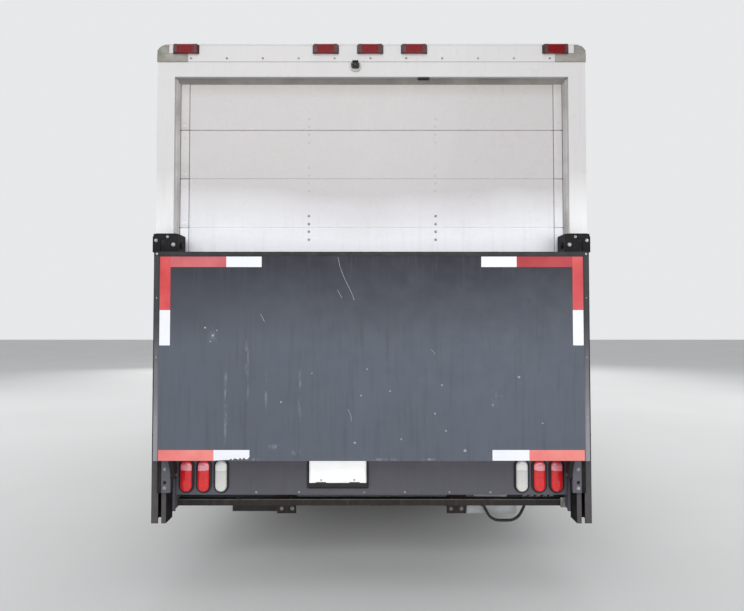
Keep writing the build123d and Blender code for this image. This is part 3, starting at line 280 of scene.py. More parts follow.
MATS = {
    "white_paint": painted("white_paint", tone(218, 216, 216), tone(176, 172, 166), 0.32, 0.1,
                           0.2, spec=0.4),
    # The door's paint turns darker above about 2 m, a painted reflection of its surroundings, and darker
    # still just under the header, a painted shadow.
    "door_paint": painted("door_paint", tone(242, 243, 248), tone(198, 196, 194), 0.3, 0.15, 0.2,
                          spec=0.4, shading_by_height=(tone(193, 189, 189), 1.84, 2.1),
                          shade=(tone(180, 175, 170), 2.615, 2.675)),
    # Darker above about 1.5 m: painted shade.
    "slate_paint": painted("slate_paint", tone(92, 98, 109), tone(74, 76, 84), 0.55, 0.0, 0.5,
                           spec=0.25, shading_by_height=(tone(62, 64, 73), 1.25, 1.68)),
    "rail_paint": painted("rail_paint", tone(29, 28, 31), tone(20, 20, 22), 0.6, 0.0, spec=0.15),
    "chassis_paint": painted("chassis_paint", tone(38, 37, 38), tone(84, 68, 54), 0.65, 0.0, 0.5,
                             spec=0.2),
    "grey_sill": painted("grey_sill", tone(95, 94, 102), tone(72, 70, 73), 0.6, 0.0, spec=0.25),
    "cast_steel": worn_metal("cast_steel", tone(96, 90, 86), tone(110, 72, 50), 0.6, 0.7),
    "bare_aluminium": worn_metal("bare_aluminium", tone(205, 206, 208), tone(150, 150, 150),
                                 0.35, 1.0, 12, (1, 1, 4), 0.5),
    "black_plastic": moulded("black_plastic", tone(34, 34, 35), tone(58, 58, 58)),
    "grey_plastic": moulded("grey_plastic", tone(98, 97, 95), tone(122, 120, 117)),
    "dark_grey": painted("dark_grey", tone(70, 70, 74), tone(50, 50, 53), 0.6, 0.0, spec=0.2),
    "wheel_paint": painted("wheel_paint", tone(214, 214, 214), tone(140, 128, 112), 0.4, 0.1, 0.5),
}


def lens(name, colour, deep, glow=0.25, coat=0.6, spec=0.5, painted_reflection=None):
    """Moulded lamp plastic. shine is a painted reflection: a pale tone and the heights between
    which it is painted into the colour, where the lens, bent back towards its top, mirrors the sky."""
    p = Paint(name, rough=0.12, coat=coat, ior=1.49, spec=spec)
    base = p.mix(p.fit(p.noise(160, 2), 0.3, 0.7, 0.1, 0.6), colour, deep)
    if painted_reflection:
        pale, low, high = painted_reflection
        wavy = p.math("ADD", p.axis(2), p.math("MULTIPLY", p.noise(22, 2), 0.02))
        lit = p.math("MULTIPLY", p.fit(wavy, low + 0.008, low + 0.013),
                     p.fit(wavy, high + 0.02, high))
        base = p.mix(p.math("MULTIPLY", lit, 0.8), base, pale)
    p.colour(base)
    p.set(p.shader, "Emission Color", colour)
    p.set(p.shader, "Emission Strength", glow)
    return p.bump(p.cells(260), 0.0006, 0.25).material


MATS["red_lens"] = lens("red_lens", tone(228, 38, 44), tone(176, 18, 24), 0.16)
MATS["dark_red_lens"] = lens("dark_red_lens", tone(136, 14, 22), tone(88, 8, 16), 0.02, 0.0, 0.2)
MATS["amber_lens"] = lens("amber_lens", tone(225, 122, 30), tone(170, 80, 16), 0.08)
MATS["clear_lens"] = lens("clear_lens", tone(240, 240, 236), tone(206, 206, 203), 0.1)
# The tail and reverse lenses have a painted reflection of the sky near their tops.
MATS["tail_lens"] = lens("tail_lens", tone(228, 38, 44), tone(176, 18, 24), 0.16,
                         painted_reflection=(tone(255, 196, 208), 0.583, 0.617))
MATS["reverse_lens"] = lens("reverse_lens", tone(222, 222, 218), tone(196, 196, 192), 0.1,
                            painted_reflection=(tone(252, 252, 252), 0.583, 0.617))


def rubber():
    p = Paint("tyre_rubber", spec=0.35)
    p.colour(p.mix(p.fit(p.noise(7, 5), 0.4, 0.75), tone(38, 38, 38), tone(78, 72, 66)))
    p.rough(p.fit(p.noise(30, 3), 0.3, 0.7, 0.7, 0.9))
    return p.bump(p.noise(700, 3), 0.0004, 0.5).material


def glass():
    p = Paint("tinted_glass", rough=0.04, alpha=0.42, coat=0.0)
    p.colour(p.mix(p.fit(p.noise(2, 3), 0.4, 0.7), tone(60, 74, 74), tone(82, 94, 92)))
    return p.bump(p.noise(3, 1), 0.0008, 0.1).material


def fabric():
    p = Paint("seat_fabric", spec=0.3)
    weave = p.math("MULTIPLY", p.math("SINE", p.math("MULTIPLY", p.axis(0), 2600)),
                   p.math("SINE", p.math("MULTIPLY", p.axis(2), 2600)))
    fleck = p.fit(p.noise(420, 2), 0.45, 0.7)
    p.colour(p.mix(fleck, tone(94, 94, 98), tone(110, 109, 111)))
    p.rough(p.fit(p.noise(20, 3), 0.3, 0.7, 0.82, 0.96))
    return p.bump(weave, 0.0002, 0.25).material


def plate_face():
    p = Paint("plate_white", coat=0.2)
    p.colour(p.mix(p.fit(p.noise(9, 5, (1, 1, 0.4)), 0.5, 0.8), tone(238, 240, 238),
                   tone(196, 196, 188)))
    p.rough(p.fit(p.noise(30, 3), 0.3, 0.7, 0.25, 0.45))
    # A faint glow of its own: painted light that brightens the white, though it is no lamp.
    p.set(p.shader, "Emission Color", tone(250, 250, 250))
    p.set(p.shader, "Emission Strength", 0.12)
    return p.bump(p.noise(200, 2), 0.0003, 0.2).material


MATS["tyre_rubber"] = rubber()
MATS["tinted_glass"] = glass()
MATS["seat_fabric"] = fabric()
MATS["plate_white"] = plate_face()


def flat(name, colour, other, rough=0.5, metal=0.0, scale=30, grain=0.0003, coat=0.0, spec=0.5,
         stretch=None):
    """A small fitting's finish: two close tones, uneven gloss and a fine grain."""
    p = Paint(name, metal=metal, coat=coat, spec=spec)
    p.colour(p.mix(p.fit(p.noise(scale, 4, stretch), 0.38, 0.68), colour, other))
    p.rough(p.fit(p.noise(scale * 2, 3), 0.3, 0.7, rough * 0.8, rough * 1.2))
    return p.bump(p.noise(scale * 22, 3), grain, 0.35).material


FITTINGS = {
    "rivet": ((150, 148, 146), (112, 110, 110), 0.45, 0.6, 60),
    "cap": ((146, 142, 136), (122, 120, 112), 0.5, 0.2, 14),
    "lamp_end": ((72, 22, 28), (46, 16, 20), 0.4, 0.0, 40),
    "dark_glass": ((8, 9, 12), (16, 18, 24), 0.08, 0.0, 20),
    "gap": ((96, 95, 93), (70, 69, 68), 0.8, 0.0, 8),
    "seal": ((196, 193, 192), (166, 163, 160), 0.75, 0.0, 6),
    # top_seal is the seal's grey darkened: a painted shadow under the header.
    "top_seal": ((134, 131, 126), (116, 113, 108), 0.75, 0.0, 6),
    # void is flat black that stands in for shade in slots and gaps: painted shade.
    "shade_black": ((12, 12, 13), (18, 18, 19), 0.9, 0.0, 10),
    "zinc": ((176, 176, 178), (132, 128, 122), 0.4, 0.8, 60),
    "rail_edge": ((84, 84, 90), (56, 56, 60), 0.6, 0.0, 12),
    "tip": ((22, 22, 25), (34, 33, 36), 0.6, 0.0, 9),
    "chip": ((172, 175, 180), (134, 139, 146), 0.7, 0.0, 200),
    "grommet": ((26, 26, 27), (44, 43, 44), 0.65, 0.0, 20),
    "mirror": ((210, 214, 218), (196, 200, 206), 0.05, 1.0, 4),
    "chrome": ((206, 207, 210), (176, 177, 180), 0.14, 1.0, 9),
    "flute": ((196, 200, 205), (168, 172, 178), 0.16, 0.2, 40),
    "hub": ((126, 125, 124), (88, 85, 82), 0.5, 0.5, 25),
    "dusty": ((150, 148, 146), (108, 106, 104), 0.7, 0.1, 40),
}
for key, (colour, other, rough, metal, scale) in FITTINGS.items():
    MATS[key] = flat(key, tone(*colour), tone(*other), rough, metal, scale)


def tape_paint(name, base, worn, hard):
    """Retroreflective tape: tiny prisms under a clear film, sun-faded in patches."""
    p = Paint(name, coat=0.1, spec=0.3)
    fade = p.fit(p.noise(5, 3), 0.5 - hard, 0.5 + hard)
    p.colour(p.mix(fade, base, worn))
    p.rough(p.fit(p.noise(20, 3), 0.3, 0.7, 0.3, 0.5))
    return p.bump(p.cells(320), 0.0004, 0.35).material


MATS["tape_red"] = tape_paint("tape_red", tone(196, 50, 55), tone(212, 84, 86), 0.16)
MATS["tape_deep"] = tape_paint("tape_deep", tone(160, 22, 32), tone(180, 52, 60), 0.12)
MATS["tape_rose"] = tape_paint("tape_rose", tone(186, 64, 72), tone(206, 110, 114), 0.22)
MATS["tape_faded"] = tape_paint("tape_faded", tone(226, 116, 114), tone(246, 158, 148), 0.25)
MATS["tape_white"] = tape_paint("tape_white", tone(243, 244, 248), tone(232, 234, 240), 0.3)


def edge_paint():
    """The platform's side channels, rubbed pale towards the ground."""
    p = Paint("edge", spec=0.25, rough=0.6)
    wavy = p.math("ADD", p.axis(2), p.math("MULTIPLY", p.noise(6, 3), 0.3))
    worn = p.fit(wavy, 1.55, 0.95)
    p.colour(p.mix(worn, tone(62, 61, 64), tone(144, 141, 147)))
    return p.bump(p.noise(90, 4), 0.0006, 0.4).material


# Where rain and loads have marked the platform's face: x, half width, low and high ends, strength
SMEARS = [
    (-0.733, 0.010, 0.76, 1.15, 0.5), (-0.628, 0.013, 0.98, 1.29, 0.45),
    (-0.531, 0.009, 0.91, 1.14, 0.4), (-0.360, 0.011, 0.83, 1.14, 0.5),
    (-0.489, 0.045, 0.74, 0.765, 0.5), (-0.378, 0.030, 0.71, 0.735, 0.5),
    (-0.800, 0.030, 1.27, 1.36, 0.35), (0.62, 0.016, 0.95, 1.05, 0.3),
    (-0.585, 0.035, 0.684, 0.694, 0.8), (0.068, 0.075, 0.684, 0.694, 0.7),
    (0.278, 0.05, 0.684, 0.694, 0.7), (-0.16, 0.3, 0.60, 0.70, 0.15),
]
DARK_SPOTS = [(0.438, 0.03, 1.575, 1.60, 0.5), (0.50, 0.03, 1.53, 1.56, 0.5),
              (0.564, 0.025, 1.48, 1.50, 0.5), (0.791, 0.025, 1.47, 1.50, 0.5)]


def platform_paint():
    """The platform's slate paint, darker above as a painted shade, and marked by rain, straps and loads."""
    p = Paint("platform_paint", spec=0.25)
    # Darker above about 1.6 m: painted shade.
    wavy = p.math("ADD", p.axis(2), p.math("MULTIPLY", p.noise(1.1, 2), 0.25))
    base = p.mix(p.fit(wavy, 1.375, 1.805), tone(92, 98, 109), tone(47, 48, 56))
    streak = p.fit(p.noise(9, 4, (6, 6, 0.35)), 0.52, 0.8)
    slow = p.fit(p.noise(1.3, 2), 0.35, 0.65)
    grime = p.math("MULTIPLY", p.math("ADD", p.math("MULTIPLY", slow, 0.4), streak), 0.5)
    base = p.mix(grime, base, tone(74, 76, 84))
    rub = p.fit(p.noise(38, 5, (2, 2, 0.5)), 0.44, 0.62)
    for marks, shade in ((SMEARS, tone(150, 156, 166)), (DARK_SPOTS, tone(50, 52, 60))):
        total = None
        for x, wide, low, high, strength in marks:
            off = p.math("ABSOLUTE", p.math("SUBTRACT", p.axis(0), x))
            inside = p.fit(off, wide, wide * 0.2, 0, strength)
            soft = min(0.05, (high - low) / 2)
            inside = p.math("MULTIPLY", inside, p.fit(p.axis(2), low - 0.004, low + soft))
            inside = p.math("MULTIPLY", inside, p.fit(p.axis(2), high + 0.004, high - soft))
            total = inside if total is None else p.math("MAXIMUM", total, inside)
        base = p.mix(p.math("MULTIPLY", total, rub), base, shade)
    lugs = p.math("MAXIMUM", p.math("GREATER_THAN", p.axis(1), FACE_Y + PLATFORM_T + 0.004),
                  p.math("LESS_THAN", p.axis(2), DECK_LOW - 0.002))
    p.colour(p.mix(lugs, base, tone(30, 29, 32)))
    p.rough(p.fit(p.noise(14, 3), 0.3, 0.7, 0.44, 0.69))
    return p.bump(p.noise(420, 2), 0.0002, 0.3).material


def rail_finish():
    """The lift rails' black paint, paler near the ground on the outer flanges: partly dust and partly
    painted light on the faces that meet the light, while the inner faces stay dark as in shade.
    """
    p = Paint("rails", spec=0.15)
    base = p.mix(p.fit(p.noise(9, 4, (6, 6, 0.35)), 0.5, 0.8), tone(29, 28, 31), tone(40, 39, 41))
    height = p.math("ADD", p.axis(2), p.math("MULTIPLY", p.noise(14, 3), 0.05))
    low = p.fit(height, 0.74, 0.66)
    # Only the outer flanges: painted light on the faces turned to the light.
    outer = p.math("LESS_THAN", p.axis(1), REAR_Y - 0.094)
    flange_dust_and_light = p.math("MULTIPLY", p.math("MULTIPLY", low, outer), p.fit(p.noise(30, 4), 0.2, 0.5, 0.7))
    p.colour(p.mix(flange_dust_and_light, base, tone(84, 80, 82)))
    p.rough(p.fit(p.noise(14, 3), 0.3, 0.7, 0.5, 0.7))
    return p.bump(p.noise(300, 2), 0.0003, 0.3).material


def pump_paint():
    """The pump set: pale motor and reservoir, black battery box, black hose and fittings."""
    p = Paint("pump_set", spec=0.4)
    black = p.math("MAXIMUM", p.math("LESS_THAN", p.axis(0), 0.3),
                   p.math("LESS_THAN", p.axis(1), HOSE_BACK))
    grime = p.fit(p.noise(11, 4), 0.4, 0.75, 0, 0.5)
    pale = p.mix(grime, tone(186, 188, 190), tone(108, 104, 98))
    p.colour(p.mix(black, pale, p.mix(grime, tone(26, 26, 27), tone(52, 48, 44))))
    p.rough(p.fit(p.noise(30, 3), 0.3, 0.7, 0.4, 0.6))
    return p.bump(p.noise(300, 2), 0.0003, 0.3).material


def headlamp_paint():
    """Glass over a bright reflector inside the bezel, darker towards the bezel's rim as a painted shade, and
    the nose's paint around it.
    """
    p = Paint("headlamp", coat=0.4, ior=1.49)
    wide = p.math("SUBTRACT", p.math("ABSOLUTE", p.axis(0)), 0.6875)
    wide = p.math("DIVIDE", p.math("ABSOLUTE", wide), 0.1155)
    high = p.math("DIVIDE", p.math("ABSOLUTE", p.math("SUBTRACT", p.axis(2), 0.875)), 0.0735)
    out = p.math("MAXIMUM", wide, high)
    bright = p.mix(p.fit(p.noise(30, 3), 0.3, 0.7), tone(206, 209, 213), tone(178, 182, 188))
    # Darker towards the rim of the bezel: painted shade in the lamp's recess.
    glass = p.mix(p.fit(out, 0.45, 0.98), bright, tone(92, 96, 102))
    nose = p.mix(p.fit(p.noise(9, 4), 0.5, 0.8, 0, 0.3), tone(218, 216, 216), tone(176, 172, 166))
    p.colour(p.mix(p.math("GREATER_THAN", out, 1.0), glass, nose))
    p.rough(p.fit(p.noise(14, 3), 0.3, 0.7, 0.16, 0.3))
    return p.bump(p.noise(200, 2), 0.0003, 0.2).material


def two_tone(name, split, inner, outer, rough=0.5, spec=0.4, glow=0.0):
    """Two finishes on one node, told apart by where a point is: split(p) is 1 for the inner. glow makes the
    inner finish give off light, a painted light.
    """
    p = Paint(name, spec=spec)
    grime = p.fit(p.noise(11, 4), 0.4, 0.75, 0, 0.35)
    near = p.mix(grime, inner, tuple(0.7 * c for c in inner))
    p.colour(p.mix(split(p), p.mix(grime, outer, tuple(0.6 * c + 0.02 for c in outer)), near))
    if glow:
        p.set(p.shader, "Emission Color", p.mix(split(p), (0.0, 0.0, 0.0), inner))
        p.set(p.shader, "Emission Strength", glow)
    p.rough(p.fit(p.noise(30, 3), 0.3, 0.7, rough * 0.8, rough * 1.2))
    return p.bump(p.noise(300, 2), 0.0003, 0.3).material


# Mesh pieces. Their tables and arguments are in millimetres, in the CAD's frame
class Piece:
    """Closed bits of mesh gathered into one object that rides on a body."""

    def __init__(self, name, slot, body="chassis", paint=None):
        self.name, self.slot, self.body = name, slot, body
        self.paint = paint or MATS[slot]
        self.mesh = bmesh.new()

    def box(self, x, y, z, bevel=0.0, steps=2):
        made = bmesh.ops.create_cube(self.mesh, size=1)["verts"]
        for v in made:
            v.co = [(a + b) / 2 + c * (b - a) for (a, b), c in zip((x, y, z), v.co)]
        if bevel:
            edges = list({e for v in made for e in v.link_edges})
            bmesh.ops.bevel(self.mesh, geom=edges, offset=bevel, segments=steps, profile=0.6,
                            affect="EDGES")
        return self

    def prism(self, points, axis, low, high, bevel=0.0, steps=2):
        """A closed outline carried along an axis: (y, z) for 0, (x, z) for 1, (x, y) for 2."""
        def at(p, t):
            return [p[0], p[1]][:axis] + [t] + [p[0], p[1]][axis:]
        ends = [[self.mesh.verts.new(at(p, t)) for p in points] for t in (low, high)]
        faces = [self.mesh.faces.new(ends[0]), self.mesh.faces.new(ends[1][::-1])]
        for i in range(len(points)):
            j = (i + 1) % len(points)
            faces.append(self.mesh.faces.new((ends[0][j], ends[0][i], ends[1][i], ends[1][j])))
        if bevel:
            edges = list({e for f in faces[:2] for e in f.edges})
            bmesh.ops.bevel(self.mesh, geom=edges, offset=bevel, segments=steps, profile=0.6,
                            affect="EDGES")
        return self

    def turned(self, profile, at, toward=(0, 0, 1), steps=24, closed=False):
        """An outline in (along, radius) turned about the line from at, toward a direction."""
        place = Matrix.Translation(at) @ Vector(toward).to_track_quat("Z", "Y").to_matrix().to_4x4()
        rings = []
        for along, r in profile:
            if r < 1e-6:
                rings.append([self.mesh.verts.new(place @ Vector((0, 0, along)))] * steps)
            else:
                rings.append([self.mesh.verts.new(place @ Vector((
                    r * math.cos(2 * math.pi * k / steps), r * math.sin(2 * math.pi * k / steps),
                    along))) for k in range(steps)])
        pairs = list(zip(rings, rings[1:] + (rings[:1] if closed else [])))
        for low, high in pairs if closed else pairs[:len(rings) - 1]:
            for k in range(steps):
                j = (k + 1) % steps
                corners = []
                for v in (low[k], low[j], high[j], high[k]):
                    if v not in corners:
                        corners.append(v)
                if len(corners) > 2:
                    self.mesh.faces.new(corners)
        return self

    def rod(self, a, b, r, steps=16, edge=1.0):
        along = (Vector(b) - Vector(a))
        n = along.length
        edge = min(edge, r / 2, n / 2)
        return self.turned([(0, 0), (0, r - edge), (edge, r), (n - edge, r), (n, r - edge), (n, 0)],
                           a, along, steps)

    def dome(self, at, toward, r, height, steps=12):
        return self.turned([(-0.5, 0), (-0.5, r), (height * 0.35, r * 0.92),
                            (height * 0.8, r * 0.55), (height, 0)], at, toward, steps)

    def bolt(self, at, toward, r, height=None):
        """A hexagon head on its washer."""
        height = height or r * 0.8
        self.turned([(-0.5, 0), (-0.5, r * 1.45), (r * 0.2, r * 1.4), (r * 0.22, 0)], at, toward, 20)
        return self.turned([(0, 0), (0, r), (height * 0.85, r), (height, r * 0.86), (height, 0)],
                           at, toward, 6)

    def ring(self, at, toward, r, thick, steps=40, sides=10):
        profile = [(thick * math.sin(2 * math.pi * k / sides),
                    r + thick * math.cos(2 * math.pi * k / sides)) for k in range(sides)]
        return self.turned(profile, at, toward, steps, closed=True)

    def tube(self, points, r, sides=10, loop=False, flat=1.0):
        """A rounded bar along points; flat squashes it across."""
        points = [Vector(p) for p in points]
        count = len(points)
        rings = []
        side = None
        for i, p in enumerate(points):
            before = points[i - 1] if i or loop else p
            after = points[(i + 1) % count] if i < count - 1 or loop else p
            along = (after - before).normalized()
            if side is None:
                side = along.orthogonal().normalized()
            side = (side - along * side.dot(along)).normalized()
            up = along.cross(side)
            rings.append([self.mesh.verts.new(p + (side * math.cos(a) + up * math.sin(a) * flat) * r)
                          for a in (2 * math.pi * k / sides for k in range(sides))])
        for i in range(count if loop else count - 1):
            low, high = rings[i], rings[(i + 1) % count]
            for k in range(sides):
                j = (k + 1) % sides
                self.mesh.faces.new((low[k], low[j], high[j], high[k]))
        if not loop:
            self.mesh.faces.new(rings[0][::-1])
            self.mesh.faces.new(rings[-1])
        return self

    def sheet(self, rows, thick):
        """A grid of points given a thickness along its own normals, closed at the edges."""
        n, m = len(rows), len(rows[0])
        def normal(i, j):
            a = Vector(rows[min(i + 1, n - 1)][j]) - Vector(rows[max(i - 1, 0)][j])
            b = Vector(rows[i][min(j + 1, m - 1)]) - Vector(rows[i][max(j - 1, 0)])
            return a.cross(b).normalized() * thick
        top = [[self.mesh.verts.new(rows[i][j]) for j in range(m)] for i in range(n)]
        low = [[self.mesh.verts.new(Vector(rows[i][j]) - normal(i, j)) for j in range(m)]
               for i in range(n)]
        for i in range(n - 1):
            for j in range(m - 1):
                self.mesh.faces.new((top[i][j], top[i][j + 1], top[i + 1][j + 1], top[i + 1][j]))
                self.mesh.faces.new((low[i][j], low[i + 1][j], low[i + 1][j + 1], low[i][j + 1]))
        rim = ([(0, j) for j in range(m)] + [(i, m - 1) for i in range(1, n)]
               + [(n - 1, j) for j in range(m - 2, -1, -1)] + [(i, 0) for i in range(n - 2, 0, -1)])
        for (i, j), (k, l) in zip(rim, rim[1:] + rim[:1]):
            self.mesh.faces.new((top[i][j], low[i][j], low[k][l], top[k][l]))
        return self

    def done(self, both=False, sharp=35, detail=0):
        bmesh.ops.scale(self.mesh, vec=(0.001,) * 3, verts=self.mesh.verts)
        if both:
            copy = bmesh.ops.duplicate(self.mesh, geom=self.mesh.faces[:] + self.mesh.edges[:]
                                       + self.mesh.verts[:])["geom"]
            bmesh.ops.scale(self.mesh, vec=(-1, 1, 1),
                            verts=[g for g in copy if isinstance(g, bmesh.types.BMVert)])
        bmesh.ops.recalc_face_normals(self.mesh, faces=self.mesh.faces)
        for face in self.mesh.faces:
            face.smooth = True
        for edge in self.mesh.edges:
            edge.smooth = len(edge.link_faces) == 2 and edge.calc_face_angle(0) < math.radians(sharp)
        data = bpy.data.meshes.new(self.name)
        self.mesh.to_mesh(data)
        self.mesh.free()
        data.materials.append(self.paint)
        made = bpy.data.objects.new(self.name, data)
        bpy.context.collection.objects.link(made)
        if detail:
            made.modifiers.new("round", "SUBSURF").levels = detail
            made.modifiers["round"].render_levels = detail
        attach(made, self.body)
        return made


def rounded(x0, x1, z0, z1, r, steps=5):
    """A rectangle's outline with round corners."""
    r = min(r, (x1 - x0) / 2, (z1 - z0) / 2)
    points = []
    for cx, cz, start in ((x1 - r, z1 - r, 0), (x0 + r, z1 - r, 90), (x0 + r, z0 + r, 180),
                          (x1 - r, z0 + r, 270)):
        for k in range(steps + 1):
            a = math.radians(start + 90 * k / steps)
            points.append((cx + r * math.cos(a), cz + r * math.sin(a)))
    return points


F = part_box("lift_rails")[1][1] * 1000                   # the rear frame's back face
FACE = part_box("lift_platform")[0][1] * 1000             # the stowed platform's outer face
BACK = (0, -1, 0)


# The rear frame's header, its corners and lamps
HEADER_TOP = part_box("box_side_left")[1][2] * 1000
HEADER_JOINT = HEADER_TOP - 47
HEADER = HEADER_TOP - 129
MARKER_XS = [-1014, -250, -7, 233, 1006]
MARKER_Z = HEADER_TOP + 21


def header():
    rivets = Piece("header_rivets", "grey_plastic", paint=MATS["rivet"])
    for step in range(11):
        rivets.dome((-987 + 196.2 * step, F, HEADER_JOINT + 20), BACK, 6.5, 2.5)
    rivets.done()
    caps = Piece("corner_caps", "bare_aluminium", paint=MATS["cap"])
    caps.prism(rounded(1004, 1170, HEADER_JOINT, HEADER_TOP + 1, 3), 1, F - 3, F - 0.2, 0.8)
    caps.box((1168.6, 1171.4), (F - 3, F + 96), (HEADER_JOINT, HEADER_TOP + 1), 0.8)
    caps.prism([(1108, HEADER_TOP), (1168, HEADER_TOP), (1168, HEADER_TOP + 12),
                (1163, HEADER_TOP + 27), (1150, HEADER_TOP + 39), (1132, HEADER_TOP + 46),
                (1108, HEADER_TOP + 48)], 1, F - 4, F + 98, 2.5, 3)
    for y in (F + 20, F + 75):
        caps.dome((1171.2, y, HEADER_JOINT + 24), (1, 0, 0), 5, 2)
    caps.done(both=True)
    sides = Piece("roof_corner_lamps", "dark_red_lens")
    sides.prism(rounded(F + 18, F + 84, HEADER_TOP + 4, HEADER_TOP + 36, 12), 0, 1160, 1178, 4, 3)
    sides.done(both=True)
    bases = Piece("roof_corner_lamp_bases", "black_plastic")
    bases.prism(rounded(F + 12, F + 90, HEADER_TOP + 1, HEADER_TOP + 40, 14), 0, 1158, 1170, 2)
    bases.done(both=True)
    ends = Piece("marker_lamp_ends", "black_plastic", paint=MATS["lamp_end"])
    lenses = Piece("marker_lamp_prisms", "dark_red_lens")
    for x in MARKER_XS:
        for side in (-1, 1):
            ends.prism([(x + side * 46, F + 0.5), (x + side * 72.5, F + 0.5),
                        (x + side * 62.5, F - 19), (x + side * 46, F - 19.5)], 2,
                       MARKER_Z - 24, MARKER_Z + 24, 2)
            ends.dome((x + side * 56, F - 19, MARKER_Z), BACK, 4, 1.5)
        for k in range(9):
            lenses.box((x - 46, x + 46), (F - 19.2, F - 17.5),
                       (MARKER_Z - 19 + k * 4.4, MARKER_Z - 16.5 + k * 4.4), 0.6, 1)
    ends.done()
    lenses.done()
    strip = Piece("header_lip", "white_paint")
    strip.box((-1130, 1130), (F - 3, F + 2), (HEADER_TOP + 47, HEADER_TOP + 55.5), 1.5)
    strip.done()
    clip = Piece("header_clip", "black_plastic")
    clip.prism(rounded(255, 318, HEADER - 9, HEADER - 1, 4), 1, F + 8, F + 26, 1.5)
    clip.box((272, 300), (F + 10, F + 22), (HEADER - 3, HEADER + 0.5), 1)
    clip.done()


CAMERA = (-88, HEADER_JOINT - 24)


def rear_camera():
    x, z = CAMERA
    eye = Piece("camera_eye", "black_plastic", paint=MATS["dark_glass"])
    eye.turned([(0, 0), (0, 10), (3, 10), (5, 7), (6, 0)], (x, F - 26, z), BACK, 24)
    eye.done()
    trim = Piece("camera_trim", "black_plastic")
    trim.ring((x, F - 26.5, z), BACK, 12, 2, 32)
    trim.prism([(F - 34, z + 15), (F - 10, z + 15), (F - 10, z + 19), (F - 34, z + 18)], 0,
               x - 17, x + 17, 1)
    for side in (-1, 1):
        trim.box((x + side * 20 - 2, x + side * 20 + 2), (F - 22, F - 7), (z - 12, z + 12), 1.5)
    trim.done()
    screws = Piece("camera_screws", "bare_aluminium")
    for turn in (90, 210, 330):
        a = math.radians(turn)
        screws.dome((x + 25 * math.cos(a), F - 8, z + 25 * math.sin(a)), BACK, 3, 1.2)
    screws.done()


# The roll-up door: edge strips, seals and the hinge bolts at each seam
DOOR_Y = F + 40
SEAMS = [HEADER - 283 - 270 * k for k in range(6)]
DECK = 840
BOLT_XS = (-344, 352)
BOLT_DZS = (65, 21, -21, -65)


def roll_door():
    strips = Piece("door_edge_strips", "door_paint")
    edges = [HEADER - 24] + SEAMS + [DECK + 8]
    for high, low in zip(edges, edges[1:]):
        strips.box((1005, 1050), (DOOR_Y - 2.6, DOOR_Y + 1), (low + 3, high - 3), 1.1)
        strips.box((1012, 1043), (DOOR_Y - 3.6, DOOR_Y), (low + 14, low + 34), 0.9)
    strips.done(both=True)
    fills = Piece("door_seam_lips", "door_paint")
    for seam in SEAMS[1:]:
        fills.box((-1000, 1000), (DOOR_Y + 2.4, DOOR_Y + 6.4), (seam - 3.4, seam + 3.4), 0.5, 1)
    fills.done()
    gaps = Piece("door_strip_gaps", "black_plastic", paint=MATS["gap"])
    gaps.box((1001.5, 1004), (DOOR_Y - 0.7, DOOR_Y + 1), (DECK + 6, HEADER - 20))
    gaps.box((1051, 1054.5), (DOOR_Y - 0.7, DOOR_Y + 1), (DECK + 6, HEADER - 20))
    gaps.done(both=True)
    seals = Piece("door_seals", "grey_plastic", paint=MATS["seal"])
    seals.prism([(1056, DOOR_Y - 1), (1060, DOOR_Y - 5), (1066, DOOR_Y - 16), (1074.5, DOOR_Y - 18),
                 (1074.5, DOOR_Y - 1)], 2, DECK + 2, HEADER - 1)
    seals.done(both=True)
    # The top seal's paint is darkened as a painted shadow under the header.
    top = Piece("door_top_seal", "grey_plastic", paint=MATS["top_seal"])
    top.prism([(DOOR_Y - 1, HEADER), (DOOR_Y - 20, HEADER), (DOOR_Y - 16, HEADER - 6),
               (DOOR_Y - 6, HEADER - 22), (DOOR_Y - 2, HEADER - 27), (DOOR_Y - 1, HEADER - 27)],
              0, -1074, 1074)
    top.done()
    plain = Piece("door_bolts_painted", "door_paint")
    bare = Piece("door_bolts_bare", "bare_aluminium", paint=MATS["rivet"])
    for index, seam in enumerate(SEAMS):
        row = bare if index == 2 else plain
        for x in BOLT_XS:
            for dz in BOLT_DZS:
                row.dome((x, DOOR_Y, seam + dz), BACK, 7.5, 2.6)
        for side in (-1, 1):
            for dz in (-42, 42):
                plain.dome((side * 1028, DOOR_Y - 2.6, seam + dz), BACK, 5, 2)
    plain.done()
    bare.done()
    handle = Piece("door_latch_trim", "bare_aluminium")
    for x in (-55, 55):
        for z in (DECK + 50, DECK + 110):
            handle.bolt((x, DOOR_Y - 12, z), BACK, 6)
    handle.done()


